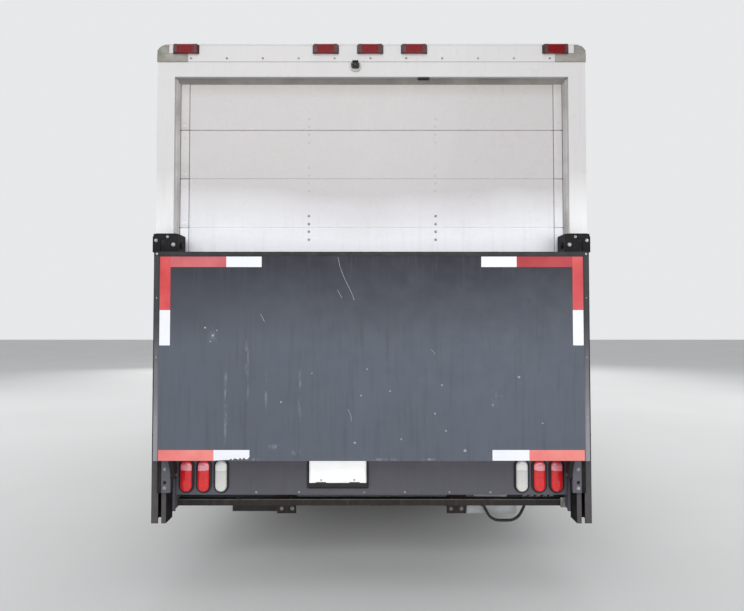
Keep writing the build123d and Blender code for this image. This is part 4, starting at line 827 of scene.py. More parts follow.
# The lift's rails: housings on top, wear strips and bolts
def lift_rails():
    top, low = 1838, 1741
    y = F - 116
    cover = Piece("housing_covers", "rail_paint")
    cover.prism([(1100, low), (1140, low), (1140, top - 16), (1128, top), (1076, top),
                 (1076, top - 26), (1100, top - 26)], 1, y - 5, y - 0.2, 1.5)
    cover.prism([(1006, low + 2), (1075.5, low), (1075.5, top), (1022, top), (1006, top - 14)],
                1, y - 5, y - 0.2, 1.5)
    cover.box((1022, 1128), (y + 4, F - 8), (top - 0.5, top + 3), 1.4)
    cover.turned([(0, 0), (0, 22), (9, 22), (12, 18), (12, 0)], (1137.5, F - 70, 1800), (1, 0, 0), 28)
    cover.turned([(0, 0), (0, 17), (7, 17), (9, 14), (9, 0)], (1008.5, F - 70, 1782), (-1, 0, 0), 28)
    cover.done(both=True)
    # Flat black behind the slot and on an oval by the top bolt: painted shade for the dark inside the
    # housing.
    dark = Piece("housing_slots", "black_plastic", paint=MATS["shade_black"])
    dark.box((1076, 1099.5), (y - 1.2, y), (low, top - 26))
    dark.prism(rounded(1012, 1050, 1769, 1793, 9), 1, y - 5.8, y - 4)
    dark.done(both=True)
    bolts = Piece("housing_bolts", "bare_aluminium", paint=MATS["zinc"])
    bolts.bolt((1031, y - 6, 1781), BACK, 7)
    bolts.bolt((1122, y - 5, 1803), BACK, 6)
    bolts.bolt((1149.5, F - 70, 1800), (1, 0, 0), 9)
    bolts.bolt((1062, y - 5, 1822), BACK, 5)
    for z in (420, 610):
        bolts.bolt((1138, F - 50, z), (1, 0, 0), 10)
    for z in (1000, 1350, 1650):
        bolts.bolt((1138, F - 20, z), (1, 0, 0), 8)
    bolts.done(both=True)
    lips = Piece("rail_lips", "rail_paint", paint=MATS["rail_edge"])
    lips.box((1136, 1139.4), (F - 101.2, F - 94), (337, 1741), 0.8)
    lips.box((1105.5, 1108), (F - 101, F - 97), (337, 1741), 0.6)
    lips.done(both=True)
    # A black strip by the platform's foot: painted shade in the gap, not a part.
    gap_shade = Piece("foot_gap_shade", "black_plastic", "lift_carriage", MATS["shade_black"])
    gap_shade.box((1081, 1102.6), (F - 123.2, F - 121), (RUNNER_Z - 0.5, 740.5), 0.8)
    gap_shade.done(both=True)
    feet = Piece("foot_bolts", "bare_aluminium", "lift_carriage", MATS["zinc"])
    feet.bolt((1064, F - 122, 524), BACK, 7)
    feet.bolt((1064, F - 122, 620), BACK, 6)
    feet.bolt((1064, F - 122, 700), BACK, 6)
    feet.done(both=True)


# The platform's outer face, with its reflective tape, and its non-slip load face
TAPE = 53
TOP_TAPE = 1709
LOW_TAPE = 683
EDGE_X = 1070


def tape(piece, x0, x1, z0, z1, torn=0):
    """A strip of tape, 0.5 mm thick, its lower edge torn over the last stretch."""
    if not torn:
        piece.prism(rounded(x0, x1, z0, z1, 1.5, 2), 1, FACE - 0.7, FACE - 0.1)
        return
    lower = [(x0, z0)]
    steps = 12
    for k in range(steps + 1):
        x = x0 + (x1 - x0) * (0.38 + 0.62 * k / steps)
        lower.append((x, z0 + random.uniform(4, 26) * (0.4 + k / steps)))
    piece.prism(lower + [(x1, z1), (x0, z1)], 1, FACE - 0.7, FACE - 0.1)


def platform():
    red = Piece("tape_red", "red_lens", "platform", MATS["tape_red"])
    deep = Piece("tape_deep", "red_lens", "platform", MATS["tape_deep"])
    pale = Piece("tape_faded", "red_lens", "platform", MATS["tape_faded"])
    rose = Piece("tape_rose", "red_lens", "platform", MATS["tape_rose"])
    white = Piece("tape_white", "plate_white", "platform", MATS["tape_white"])
    for side in (-1, 1):
        def across(piece, near, far, z, torn=0):
            a, b = sorted((side * near, side * far))
            tape(piece, a, b, z, z + TAPE, torn)
        across(rose if side < 0 else deep, EDGE_X - TAPE, 735, TOP_TAPE - TAPE)
        across(white, 735, 556, TOP_TAPE - TAPE)
        a, b = sorted((side * EDGE_X, side * (EDGE_X - TAPE)))
        tape(red, a, b, 1438, TOP_TAPE)
        tape(white, a, b, 1260, 1438)
        across(pale, EDGE_X, 792, LOW_TAPE)
    tape(white, -792, -612, LOW_TAPE, LOW_TAPE + TAPE, torn=1)
    tape(white, 607, 792, LOW_TAPE, LOW_TAPE + TAPE)
    for piece in (red, deep, pale, rose, white):
        piece.done()
    edge = Piece("platform_edges", "slate_paint", "platform", edge_paint())
    edge.prism([(1074, FACE - 0.2), (1077, FACE - 3), (1094, FACE - 3), (1096.5, FACE),
                (1096.5, FACE + 71), (1094, FACE + 72.8), (1083, FACE + 72.8), (1083, FACE + 71.9),
                (1095.2, FACE + 71.9), (1095.2, FACE - 0.2)], 2, 681.5, 1712)
    edge.done(both=True)
    cap = Piece("platform_tip", "black_plastic", "platform", MATS["tip"])
    cap.prism([(FACE - 2.6, 1713), (FACE - 0.2, 1713), (FACE - 0.2, 1730.2), (FACE + 16.5, 1730.2),
               (FACE + 16.5, 1733), (FACE, 1734), (FACE - 2.6, 1731)], 0, -1094, 1094)
    cap.done()
    bolts = Piece("platform_bolts", "bare_aluminium", "platform", MATS["zinc"])
    bolts.dome((1087, FACE - 2.6, 1722), BACK, 7, 3)
    for z in (1500, 1200, 900):
        bolts.dome((1085, FACE - 3, z), BACK, 3.5, 1.2)
    for z in (720, 1000, 1300, 1560):
        bolts.bolt((1096.4, FACE + 36, z), (1, 0, 0), 6)
    bolts.done(both=True)
    grip = Piece("platform_grip", "slate_paint", "platform")
    inner = FACE + 72
    for row in range(17):
        for column in range(34):
            x = -1020 + column * 60 + (30 if row % 2 else 0)
            if abs(x) < 1040:
                z = 740 + row * 51
                grip.prism([(x - 16, z - 4), (x, z - 6), (x + 16, z - 4), (x + 16, z + 4),
                            (x, z + 6), (x - 16, z + 4)], 1, inner - 0.2, inner + 2.4)
    grip.done()
    chips = Piece("platform_chips", "plate_white", "platform", MATS["chip"])
    for x, z, r in ((743, 1101, 7), (355, 1061, 5), (93, 1031, 5), (319, 918, 5), (374, 831, 6),
                    (469, 733, 8), (-455, 976, 5), (-53, 1008, 6), (-22, 1141, 4), (-83, 771, 7),
                    (-840, 1350, 6), (-800, 1310, 6), (-780, 1335, 5), (-812, 1280, 5),
                    (150, 790, 5), (-300, 1120, 4), (610, 960, 4), (860, 870, 4)):
        points = []
        for k in range(9):
            a = 2 * math.pi * k / 9
            d = r * random.uniform(0.55, 1.15)
            points.append((x + d * math.cos(a), z + d * math.sin(a)))
        chips.prism(points, 1, FACE - 0.35, FACE - 0.05)
    chips.done()
    scratches = Piece("platform_scratches", "plate_white", "platform", MATS["chip"])
    for line in ([(-170, 1707), (-160, 1660), (-142, 1610), (-118, 1560), (-98, 1520), (-88, 1489)],
                 [(-172, 1540), (-150, 1500)], [(640, 1010), (668, 1002)], [(300, 1240), (322, 1216)],
                 [(-560, 1420), (-540, 1380)], [(-120, 940), (-104, 912), (-100, 880)]):
        edge = [(x + 1.1, z) for x, z in line] + [(x - 1.1, z) for x, z in reversed(line)]
        scratches.prism(edge, 1, FACE - 0.3, FACE - 0.05)
    scratches.done()


# Lamps, plate and bar under the frame
SILL_Y = F + 20
LAMPS = [(-995, "red"), (-902, "red"), (-808, "white"), (808, "white"), (902, "red"), (995, "red")]
LAMP = (60, 165, 552)


def oval(x, grow, steps=14):
    w, h, z = LAMP
    return rounded(x - w / 2 - grow, x + w / 2 + grow, z - h / 2 - grow, z + h / 2 + grow,
                   w / 2 + grow, steps)


def rear_lamps():
    grommets = Piece("lamp_grommets", "black_plastic", paint=MATS["grommet"])
    domes = {"red": Piece("lamp_domes_red", "red_lens", paint=MATS["tail_lens"]),
             "white": Piece("lamp_domes_white", "clear_lens", paint=MATS["reverse_lens"])}
    ribs = {"red": Piece("lamp_ribs_red", "red_lens", paint=MATS["tail_lens"]),
            "white": Piece("lamp_ribs_white", "clear_lens", paint=MATS["reverse_lens"])}
    for x, tint in LAMPS:
        grommets.tube([(px, SILL_Y - 3, pz) for px, pz in oval(x, 5)], 6.5, 10, loop=True)
        front = SILL_Y - 14
        rows = []
        for depth, grow in ((0.5, -0.5), (-2.5, -1.5), (-5.5, -5), (-7.5, -11), (-8.6, -18)):
            rows.append([(px, front + depth, pz) for px, pz in oval(x, grow)])
        mesh = domes[tint].mesh
        rings = [[mesh.verts.new(p) for p in row] for row in rows]
        count = len(rings[0])
        for low, high in zip(rings, rings[1:]):
            for k in range(count):
                j = (k + 1) % count
                mesh.faces.new((low[k], low[j], high[j], high[k]))
        mesh.faces.new(rings[0][::-1])
        mesh.faces.new(rings[-1])
        for k in range(11):
            z = LAMP[2] - 60 + k * 12
            ribs[tint].box((x - 12, x + 12), (front - 9.4, front - 8), (z - 2.4, z + 2.4), 0.6, 1)
    grommets.done()
    for piece in (*domes.values(), *ribs.values()):
        piece.done()


PLATE_X = -181


def number_plate():
    trim = Piece("plate_holder_rim", "black_plastic")
    y = SILL_Y - 8
    trim.tube([(px, y - 1.5, pz) for px, pz in rounded(PLATE_X - 162, PLATE_X + 162, 488, 680, 6)],
              3.5, 8, loop=True)
    for x in (PLATE_X - 118, PLATE_X + 62):
        trim.prism(rounded(x, x + 56, 500, 519, 4), 1, y - 5.5, y - 0.5, 1)
    trim.done()
    screws = Piece("plate_screws", "bare_aluminium", paint=MATS["zinc"])
    for dx in (-88.9, 88.9):
        for dz in (-60.3, 60.3):
            screws.dome((PLATE_X + dx, y - 2, 591 + dz), BACK, 6, 2.2, 16)
    screws.done()
    bead = Piece("plate_bead", "plate_white")
    bead.tube([(px, y - 2.4, pz) for px, pz in rounded(PLATE_X - 148, PLATE_X + 148, 520, 663, 8)],
              2, 6, loop=True)
    bead.done()


def rear_sill():
    bolts = Piece("sill_bolts", "bare_aluminium", paint=MATS["dusty"])
    for x in (-620, -390, -40, 180, 420, 640):
        bolts.dome((x, SILL_Y, 462), BACK, 7, 3)
    bolts.done()
    flap = Piece("sill_flaps", "black_plastic", paint=MATS["grommet"])
    flap.box((745, 1050), (F + 81, F + 85), (398, 456), 1)
    flap.done(both=True)
    clips = Piece("wire_clips", "bare_aluminium", paint=MATS["dusty"])
    for x in (843, 880, 918, 955, 990):
        clips.bolt((x, F + 81.5, 430), BACK, 6)
        clips.rod((x - 16, F + 79, 422), (x - 4, F + 79, 434), 3.5)
    clips.done()
    # A pale strip along the bar's top front edge: a painted highlight.
    lip = Piece("bar_top_highlight", "bare_aluminium", paint=MATS["rail_edge"])
    lip.box((-1047, 1047), (F + 44, F + 47), (413, 418), 1)
    lip.done()
    bracket = Piece("bar_end_bracket", "bare_aluminium", paint=MATS["dusty"])
    bracket.box((1024, 1050), (F + 40, F + 44.8), (374, 428), 1.5)
    bracket.bolt((1037, F + 40, 415), BACK, 5)
    bracket.done()
    hangers = Piece("hanger_bolts", "bare_aluminium", paint=MATS["dusty"])
    for x in (455, 515):
        for z in (310, 560, 640):
            hangers.bolt((x, F + 225, z), BACK, 8)
    hangers.done(both=True)


# Wheels: tyres with their tread, lug nuts and hubs
def middle(node):
    low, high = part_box(node)
    return [500 * (a + b) for a, b in zip(low, high)]


AX = middle("front_tyre_left")[1]                       # front axle
RX = middle("rear_tyres_left")[1]                       # rear axle
TYRE_R = middle("front_tyre_left")[2]
FRONT_MID = 881.5
TWIN_MIDS = (723, 977)
BLOCKS = 66

# Half a tyre's section from the bead out and over to the middle: width, radius, kind of surface
SECTION = [
    (80, 204, ""), (86, 205, ""), (91, 211, ""), (96, 221, ""), (101, 226, ""), (101.5, 231, ""),
    (98.5, 236, ""), (103, 252, ""), (107, 270, ""), (108.3, 288, ""), (107.2, 304, ""),
    (108.2, 305, ""), (107.8, 308, ""), (106.4, 309, ""), (104.8, 322, ""), (105.8, 323, ""),
    (105.4, 326, ""), (104, 327, ""), (101.5, 342, "lug"), (98, 353, "lug"), (94.5, 361, "lug"),
    (88, 367, "shoulder"), (78, 370.2, "shoulder"), (57.5, 371.4, "shoulder"), (55, 363.5, ""),
    (47, 363.5, ""), (45, 371.5, "rib"), (35, 371.7, "rib"), (24.5, 371.8, "rib"), (22.5, 363.5, ""),
    (14.5, 363.5, ""), (12.5, 371.9, "middle"), (4, 372, "middle"),
]
CUTS = {"lug": (0, 2.2), "shoulder": (0, 6), "rib": (2, 5), "middle": (1, 2.5)}


def tyre(piece, x, y, out):
    half = [(w * out, r, kind) for w, r, kind in SECTION]
    whole = half + [(-w, r, kind) for w, r, kind in reversed(half)]
    steps = BLOCKS * 4
    rings = []
    for k in range(steps):
        ring = []
        for w, r, kind in whole:
            shift = 1 if w * out < 0 else 0
            if kind in CUTS and (k + 2 * shift) % 4 == CUTS[kind][0]:
                r -= CUTS[kind][1]
            a = 2 * math.pi * (k + (w / 60 if kind else 0)) / steps
            ring.append(piece.mesh.verts.new((x + w, y + r * math.cos(a), TYRE_R + r * math.sin(a))))
        rings.append(ring)
    for k in range(steps):
        low, high = rings[k], rings[(k + 1) % steps]
        for i in range(len(whole)):
            j = (i + 1) % len(whole)
            piece.mesh.faces.new((low[i], low[j], high[j], high[i]))


def around(count, radius, y, start=0.0):
    for k in range(count):
        a = math.radians(start) + 2 * math.pi * k / count
        yield y + radius * math.cos(a), TYRE_R + radius * math.sin(a), a


def wheels():
    for side, out in (("left", -1), ("right", 1)):
        toward = (out, 0, 0)
        body = "front_wheel_" + side
        front = Piece("front_tread_" + side, "tyre_rubber", body)
        tyre(front, out * FRONT_MID, AX, out)
        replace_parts(front.done(sharp=28), "front_tyre_" + side)
        body = "rear_wheel_" + side
        rear = Piece("rear_tread_" + side, "tyre_rubber", body)
        for x in TWIN_MIDS:
            tyre(rear, out * x, RX, out)
        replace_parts(rear.done(sharp=28), "rear_tyres_" + side)
        for name, body, face, y, pitch, hub, reach in (
                ("front", "front_wheel_" + side, 1008.5, AX, 84, 62, 1029.5),
                ("rear", "rear_wheel_" + side, 859, RX, 88.5, 70, 955)):
            nuts = Piece(name + "_nuts_" + side, "bare_aluminium", body, MATS["zinc"])
            for py, pz, a in around(8, pitch, y, 22.5):
                at = (out * (face - 0.5), py, pz)
                nuts.turned([(0, 0), (0, 13), (4, 12.4), (4, 0)], at, toward, 18)
                nuts.turned([(4, 0), (4, 10.5), (19, 10.5), (22, 8), (22, 0)], at, toward, 6)
            nuts.done()
            cap = Piece(name + "_hub_" + side, "cast_steel", body, MATS["hub"])
            at = (out * (reach - 2), y, TYRE_R)
            if name == "front":
                cap.turned([(0, 0), (0, hub - 4), (3.2, hub - 9), (4.2, 30), (7, 26), (8.5, 12),
                            (8.8, 0)], at, toward, 40)
                studs = [(hub - 16, 6, 5, 4.4)]
            else:
                cap.turned([(0, 0), (0, hub - 3), (8, hub - 3), (11, hub - 7), (11, 34), (19, 30),
                            (22, 14), (22, 0)], at, toward, 40)
                studs = [(hub - 18, 8, 6, 10.5)]
            for radius, count, r, high in studs:
                for py, pz, a in around(count, radius, y):
                    cap.bolt((out * (reach - 2 + high - 1), py, pz), toward, r, 5)
            cap.ring((out * (face + 1), y, TYRE_R), toward, hub + 2, 2.4, 40, 6)
            cap.done()
            rims = Piece(name + "_rim_trim_" + side, "wheel_paint", body)
            edge = (FRONT_MID if name == "front" else TWIN_MIDS[1]) + 95
            rims.ring((out * (edge - 2.6), y, TYRE_R), toward, 212.5, 3.2, 72, 8)
            rims.ring((out * (edge - 24), y, TYRE_R), toward, 190, 2.6, 72, 6)
            for py, pz, a in around(1, 186, y, 100):
                rims.rod((out * (edge - 34), py, pz), (out * (edge - 6), py, pz + 6), 4.5, 10)
            rims.done()
            weight = Piece(name + "_balance_" + side, "bare_aluminium", body, MATS["zinc"])
            points = [(out * (edge + 1), py, pz) for py, pz, a in
                      (next(around(1, 205, y, 30 + 3 * k)) for k in range(6))]
            weight.tube(points, 4.5, 6)
            weight.done()


# The cab's outside. y runs from the front axle where a table says so
def side_x(z):
    """Half the cab's width at a height, up to its roof's corner."""
    return 1010 if z < 1183 else 1010 - 0.14205 * (z - 1183)


def screen_y(z):
    return AX + 37 - (z - 1271) * 689 / 789


def hood_z(y):
    return 1271 - 0.25 * (y - 37)


SCREEN_OUT = Vector((0, 0.753, 0.658))


def filleted(points, radii, steps=6):
    """A closed outline with each corner rounded."""
    made = []
    for i, (p, r) in enumerate(zip(points, radii)):
        p = Vector(p)
        a = (Vector(points[i - 1]) - p).normalized()
        b = (Vector(points[(i + 1) % len(points)]) - p).normalized()
        half = a.angle(b) / 2
        reach = r / math.tan(half)
        centre = p + (a + b).normalized() * (r / math.sin(half))
        start, end = p + a * reach - centre, p + b * reach - centre
        for k in range(steps + 1):
            t = k / steps
            made.append(tuple(centre + start.slerp(end, t, start)
                              * (r / max(1e-6, start.slerp(end, t, start).length))))
    return made


WINDOW = filleted([(-1222, 1240), (-238, 1240), (-716, 1862), (-1222, 1862)], [40, 30, 60, 50])
SCREEN = filleted([(-880, 1325), (880, 1325), (805, 1965), (-805, 1965)], [70, 70, 60, 60])


def screen():
    seal = Piece("screen_seal", "black_plastic")
    seal.tube([Vector((x, screen_y(z), z)) + SCREEN_OUT * 1.0 for x, z in SCREEN], 9, 8, True, 0.6)
    seal.done()
    band = Piece("screen_shade", "black_plastic", paint=MATS["dark_glass"])
    band.prism([(screen_y(1957) - 3.5, 1957), (screen_y(1957) - 2.2, 1957),
                (screen_y(1895) - 2.2, 1895), (screen_y(1895) - 3.5, 1895)], 0, -770, 770)
    band.done()
    wipers = Piece("wipers", "black_plastic")
    for pivot, foot, tip in ((-620, -590, 60), (130, 160, 790)):
        start = Vector((pivot, screen_y(1290), 1290)) + SCREEN_OUT * 4
        wipers.turned([(-6, 0), (-6, 17), (10, 15), (16, 9), (17, 0)], start, SCREEN_OUT, 20)
        mid = Vector(((foot + tip) / 2, screen_y(1365), 1365)) + SCREEN_OUT * 16
        wipers.tube([start + SCREEN_OUT * 12, start.lerp(mid, 0.4) + SCREEN_OUT * 6, mid], 6, 8, False, 0.6)
        a = Vector((foot, screen_y(1350), 1350)) + SCREEN_OUT * 7
        b = Vector((tip, screen_y(1380), 1380)) + SCREEN_OUT * 7
        wipers.tube([a, a.lerp(b, 0.5) + SCREEN_OUT * 2, b], 4, 6)
        for t in (0.12, 0.35, 0.65, 0.88):
            p = a.lerp(b, t)
            wipers.tube([p, p + SCREEN_OUT * 7, mid.lerp(p, 0.5) + SCREEN_OUT * 2], 3, 6)
        wipers.rod(a.lerp(b, 0.3) + SCREEN_OUT * 8, a.lerp(b, 0.7) + SCREEN_OUT * 8, 4)
    wipers.done()
    jets = Piece("washer_jets", "black_plastic")
    for x in (-300, 300):
        jets.turned([(0, 0), (0, 9), (4, 8), (8, 4), (8, 0)],
                    (x, AX + 52, 1267), (0, 0, 1), 14)
    jets.done()


def door_trim():
    for side, out in (("left", -1), ("right", 1)):
        body = "door_" + side
        toward = (out, 0, 0)
        seal = Piece("window_seal_" + side, "black_plastic", body)
        grow = [(y + (4 if y > -700 else -4 if y < -1200 else 0), z) for y, z in WINDOW]
        seal.tube([(out * (side_x(z) + 0.5), AX + y, z) for y, z in grow], 8, 8, True, 0.55)
        seal.prism([(out * (side_x(1226) + 4.5), 1224), (out * (side_x(1238) + 4.5), 1238),
                    (out * (side_x(1238) - 1), 1238), (out * (side_x(1226) - 1), 1224)],
                   1, AX - 1245, AX - 222, 1)
        seal.done()
        handle = Piece("door_handle_" + side, "black_plastic", body)
        handle.prism(rounded(AX - 1222, AX - 1062, 1092, 1152, 16), 0,
                     *sorted((out * 1009.5, out * 1013)), 1.2)
        handle.tube([(out * 1011, AX - 1206, 1124), (out * 1024, AX - 1196, 1126),
                     (out * 1030, AX - 1170, 1128), (out * 1030, AX - 1112, 1128),
                     (out * 1024, AX - 1086, 1126), (out * 1011, AX - 1076, 1124)], 9, 10, False, 0.8)
        handle.done(detail=1)
        lock = Piece("door_lock_" + side, "bare_aluminium", body, MATS["zinc"])
        lock.turned([(-1, 0), (-1, 10), (1.6, 9.5), (2, 7), (1.4, 6.6), (1.4, 0)],
                    (out * 1010.5, AX - 1142, 1056), toward, 24)
        lock.box(tuple(sorted((out * 1011.6, out * 1012.4))), (AX - 1143, AX - 1141), (1051, 1061))
        lock.done()
        mould = Piece("door_moulding_" + side, "black_plastic", body)
        mould.prism([(out * 1009.5, 842), (out * 1014, 845), (out * 1016, 852), (out * 1016, 872),
                     (out * 1014, 879), (out * 1009.5, 882)], 1, AX - 1284, AX - 470, 1.2)
        mould.done()
        mirror = Piece("mirror_glass_" + side, "bare_aluminium", body, MATS["mirror"])
        mirror.prism(rounded(*sorted((out * 1103, out * 1247)), 1262, 1484, 16), 1,
                         AX - 266.4, AX - 265.2, 0.5)
        mirror.prism(rounded(*sorted((out * 1103, out * 1247)), 1204, 1250, 14), 1,
                         AX - 266.4, AX - 265.2, 0.5)
        mirror.done()
        rim = Piece("mirror_rim_" + side, "black_plastic", body)
        for z0, z1 in ((1258, 1488), (1200, 1254)):
            rim.tube([(x, AX - 266, z) for x, z in
                      rounded(*sorted((out * 1099, out * 1251)), z0, z1, 18)], 4, 6, True)
        for z in (1150, 1195):
            rim.bolt((out * 1026, AX - 230, z), toward, 6)
        rim.done()
        inner = Piece("door_card_" + side, "grey_plastic", body)
        x0, x1 = sorted((out * 948, out * 936))
        inner.prism(filleted([(AX - 1270, 560), (AX - 660, 560), (AX - 520, 760), (AX - 180, 900),
                              (AX - 180, 1180), (AX - 1270, 1180)], [30, 60, 80, 60, 30, 30]),
                    0, x0, x1, 3)
        inner.prism(rounded(AX - 1130, AX - 560, 925, 985, 24), 0,
                    *sorted((out * 938, out * 872)), 8, 3)
        inner.prism(rounded(AX - 1180, AX - 620, 640, 760, 20), 0,
                    *sorted((out * 938, out * 905)), 6, 3)
        inner.turned([(0, 0), (0, 30), (10, 28), (16, 16), (20, 0)], (out * 936, AX - 500, 1040),
                     (-out, 0, 0), 24)
        inner.done()
        crank = Piece("door_pull_" + side, "black_plastic", body)
        crank.tube([(out * 922, AX - 500, 1040), (out * 908, AX - 540, 1010),
                    (out * 905, AX - 590, 985)], 7, 8, False, 0.7)
        crank.turned([(0, 0), (0, 12), (26, 10), (28, 0)], (out * 907, AX - 588, 985), (-out, 0, 0), 18)
        crank.prism(rounded(AX - 700, AX - 600, 1060, 1100, 14), 0,
                    *sorted((out * 938, out * 930)), 2)
        crank.rod((out * 924, AX - 680, 1080), (out * 924, AX - 615, 1080), 6)
        crank.done()


def cab_front():
    lamps = Piece("headlamp_bezels", "bare_aluminium", paint=MATS["chrome"])
    glass = Piece("headlamp_flutes", "clear_lens", paint=MATS["flute"])
    for x0, x1 in ((575, 800),):
        y = AX + 735
        lamps.tube([(x, y + 2, z) for x, z in rounded(x0, x1, 804, 946, 22)], 6, 8, True)
        for k in range(14):
            x = x0 + 13 + k * (x1 - x0 - 26) / 13
            glass.box((x - 4.5, x + 4.5), (y - 0.5, y + 3.5), (812, 938), 1.5, 1)
        glass.prism(rounded(x0 + 90, x1 - 90, 852, 898, 20), 1, y + 2, y + 7, 2, 2)
    lamps.done(both=True)
    glass.done(both=True)
    turns = Piece("turn_lamps", "amber_lens")
    turns.prism(rounded(566, 812, 742, 782, 10), 1, AX + 733, AX + 744, 3)
    for k in range(18):
        turns.box((577 + k * 13, 584 + k * 13), (AX + 743, AX + 745.5), (748, 776), 0.8, 1)
    turns.done(both=True)
    sides = Piece("side_markers", "amber_lens")
    sides.prism(rounded(AX + 520, AX + 612, 872, 908, 9), 0, 960, 990, 3)
    sides.done(both=True)
    bases = Piece("side_marker_bases", "black_plastic")
    bases.prism(rounded(AX + 514, AX + 618, 866, 914, 12), 0, 955, 985, 2)
    bases.done(both=True)
    frame = Piece("grille_frame", "bare_aluminium", paint=MATS["chrome"])
    frame.tube([(x, AX + 744, z) for x, z in rounded(-493, 493, 742, 968, 14)], 8, 8, True)
    frame.done()
    core = Piece("radiator", "cast_steel", paint=MATS["grommet"])
    core.box((-430, 430), (AX + 600, AX + 632), (712, 1010), 4)
    for k in range(42):
        core.box((-415 + k * 20, -412 + k * 20), (AX + 631, AX + 636), (740, 985))
    core.box((-440, 440), (AX + 596, AX + 640), (1004, 1040), 10, 3)
    core.done()
    strip = Piece("bumper_strip", "black_plastic")
    strip.prism([(AX + 797, 522), (AX + 806, 528), (AX + 808, 540), (AX + 806, 552),
                 (AX + 797, 558)], 0, -840, 840, 2)
    for k in range(11):
        strip.box((-700, 700), (AX + 712 + k * 7.4, AX + 715.5 + k * 7.4), (654, 658.5), 0.8, 1)
    strip.done()
    bolts = Piece("bumper_bolts", "bare_aluminium", paint=MATS["zinc"])
    for z in (480, 600):
        bolts.dome((396, AX + 800, z), (0, 1, 0), 11, 5, 16)
    bolts.ring((620, AX + 800, 470), (0, 1, 0), 13, 2, 24, 6)
    bolts.done(both=True)
    latch = Piece("nose_trim", "black_plastic")
    latch.prism(rounded(-70, 70, 1000, 1030, 10), 1, AX + 733, AX + 739, 2)
    latch.done()


def cab_sides():
    rails = Piece("drip_rails", "black_plastic")
    rail = [(-1438, 1948), (-1300, 1950), (-900, 1950), (-706, 1949), (-660, 1925),
            (-560, 1800), (-420, 1625), (-280, 1451), (-160, 1302), (-132, 1262)]
    rails.tube([(side_x(z) + 2, AX + y, z) for y, z in rail], 7, 8, False, 0.7)
    rails.done(both=True)
    lips = Piece("arch_lips", "white_paint")
    points = []
    for k in range(33):
        a = math.radians(10 + 160 * k / 32)
        y, z = 456 * math.cos(a), TYRE_R + 456 * math.sin(a)
        points.append((1010 - (max(0, y - 355) * 0.15), AX + y, z))
    lips.tube(points, 9, 8, False, 0.7)
    lips.done(both=True)
    steps = Piece("cab_steps", "black_plastic")
    steps.box((860, 1016), (AX - 1180, AX - 620), (424, 444), 6, 3)
    for k in range(24):
        steps.box((880, 1006), (AX - 1168 + k * 23, AX - 1158 + k * 23), (443, 446.5), 0.8, 1)
    steps.done(both=True)
    hinges = Piece("hinge_leaves", "white_paint")
    for z in (900, 1130):
        hinges.box((1004, 1012), (AX - 138, AX - 80), (z - 40, z + 40), 2)
        hinges.bolt((1012, AX - 102, z - 18), (1, 0, 0), 6)
        hinges.bolt((1012, AX - 102, z + 18), (1, 0, 0), 6)
    hinges.done(both=True)
    cover = Piece("fuel_door", "white_paint")
    cover.prism(rounded(AX - 1436, AX - 1306, 1010, 1140, 18), 0, -1012.5, -1009.5, 1)
    cover.turned([(0, 0), (0, 8), (2, 7.5), (2.5, 0)], (-1012.5, AX - 1330, 1075), (-1, 0, 0), 20)
    cover.done()
    back = Piece("cab_back_ribs", "white_paint")
    for z in (1300, 1420, 1540, 1660, 1780):
        back.prism([(AX - 1450.2, z - 14), (AX - 1454, z - 6), (AX - 1454, z + 6),
                    (AX - 1450.2, z + 14)], 0, -760, 760, 1)
    back.done()
    antenna = Piece("antenna", "black_plastic")
    antenna.turned([(0, 0), (0, 18), (10, 14), (16, 6), (16, 0)], (900, AX + 120, hood_z(120) - 4),
                   (0, 0, 1), 18)
    antenna.tube([(900, AX + 120, 1250), (904, AX + 90, 1500), (910, AX + 50, 1790)], 2, 6)
    antenna.done()


# The box's sides, front and roof
BOX_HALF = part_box("box_side_right")[1][0] * 1000
BOX_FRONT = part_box("box_front_wall")[1][1] * 1000
BOX_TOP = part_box("box_side_right")[1][2] * 1000
PANEL = BOX_HALF - 5


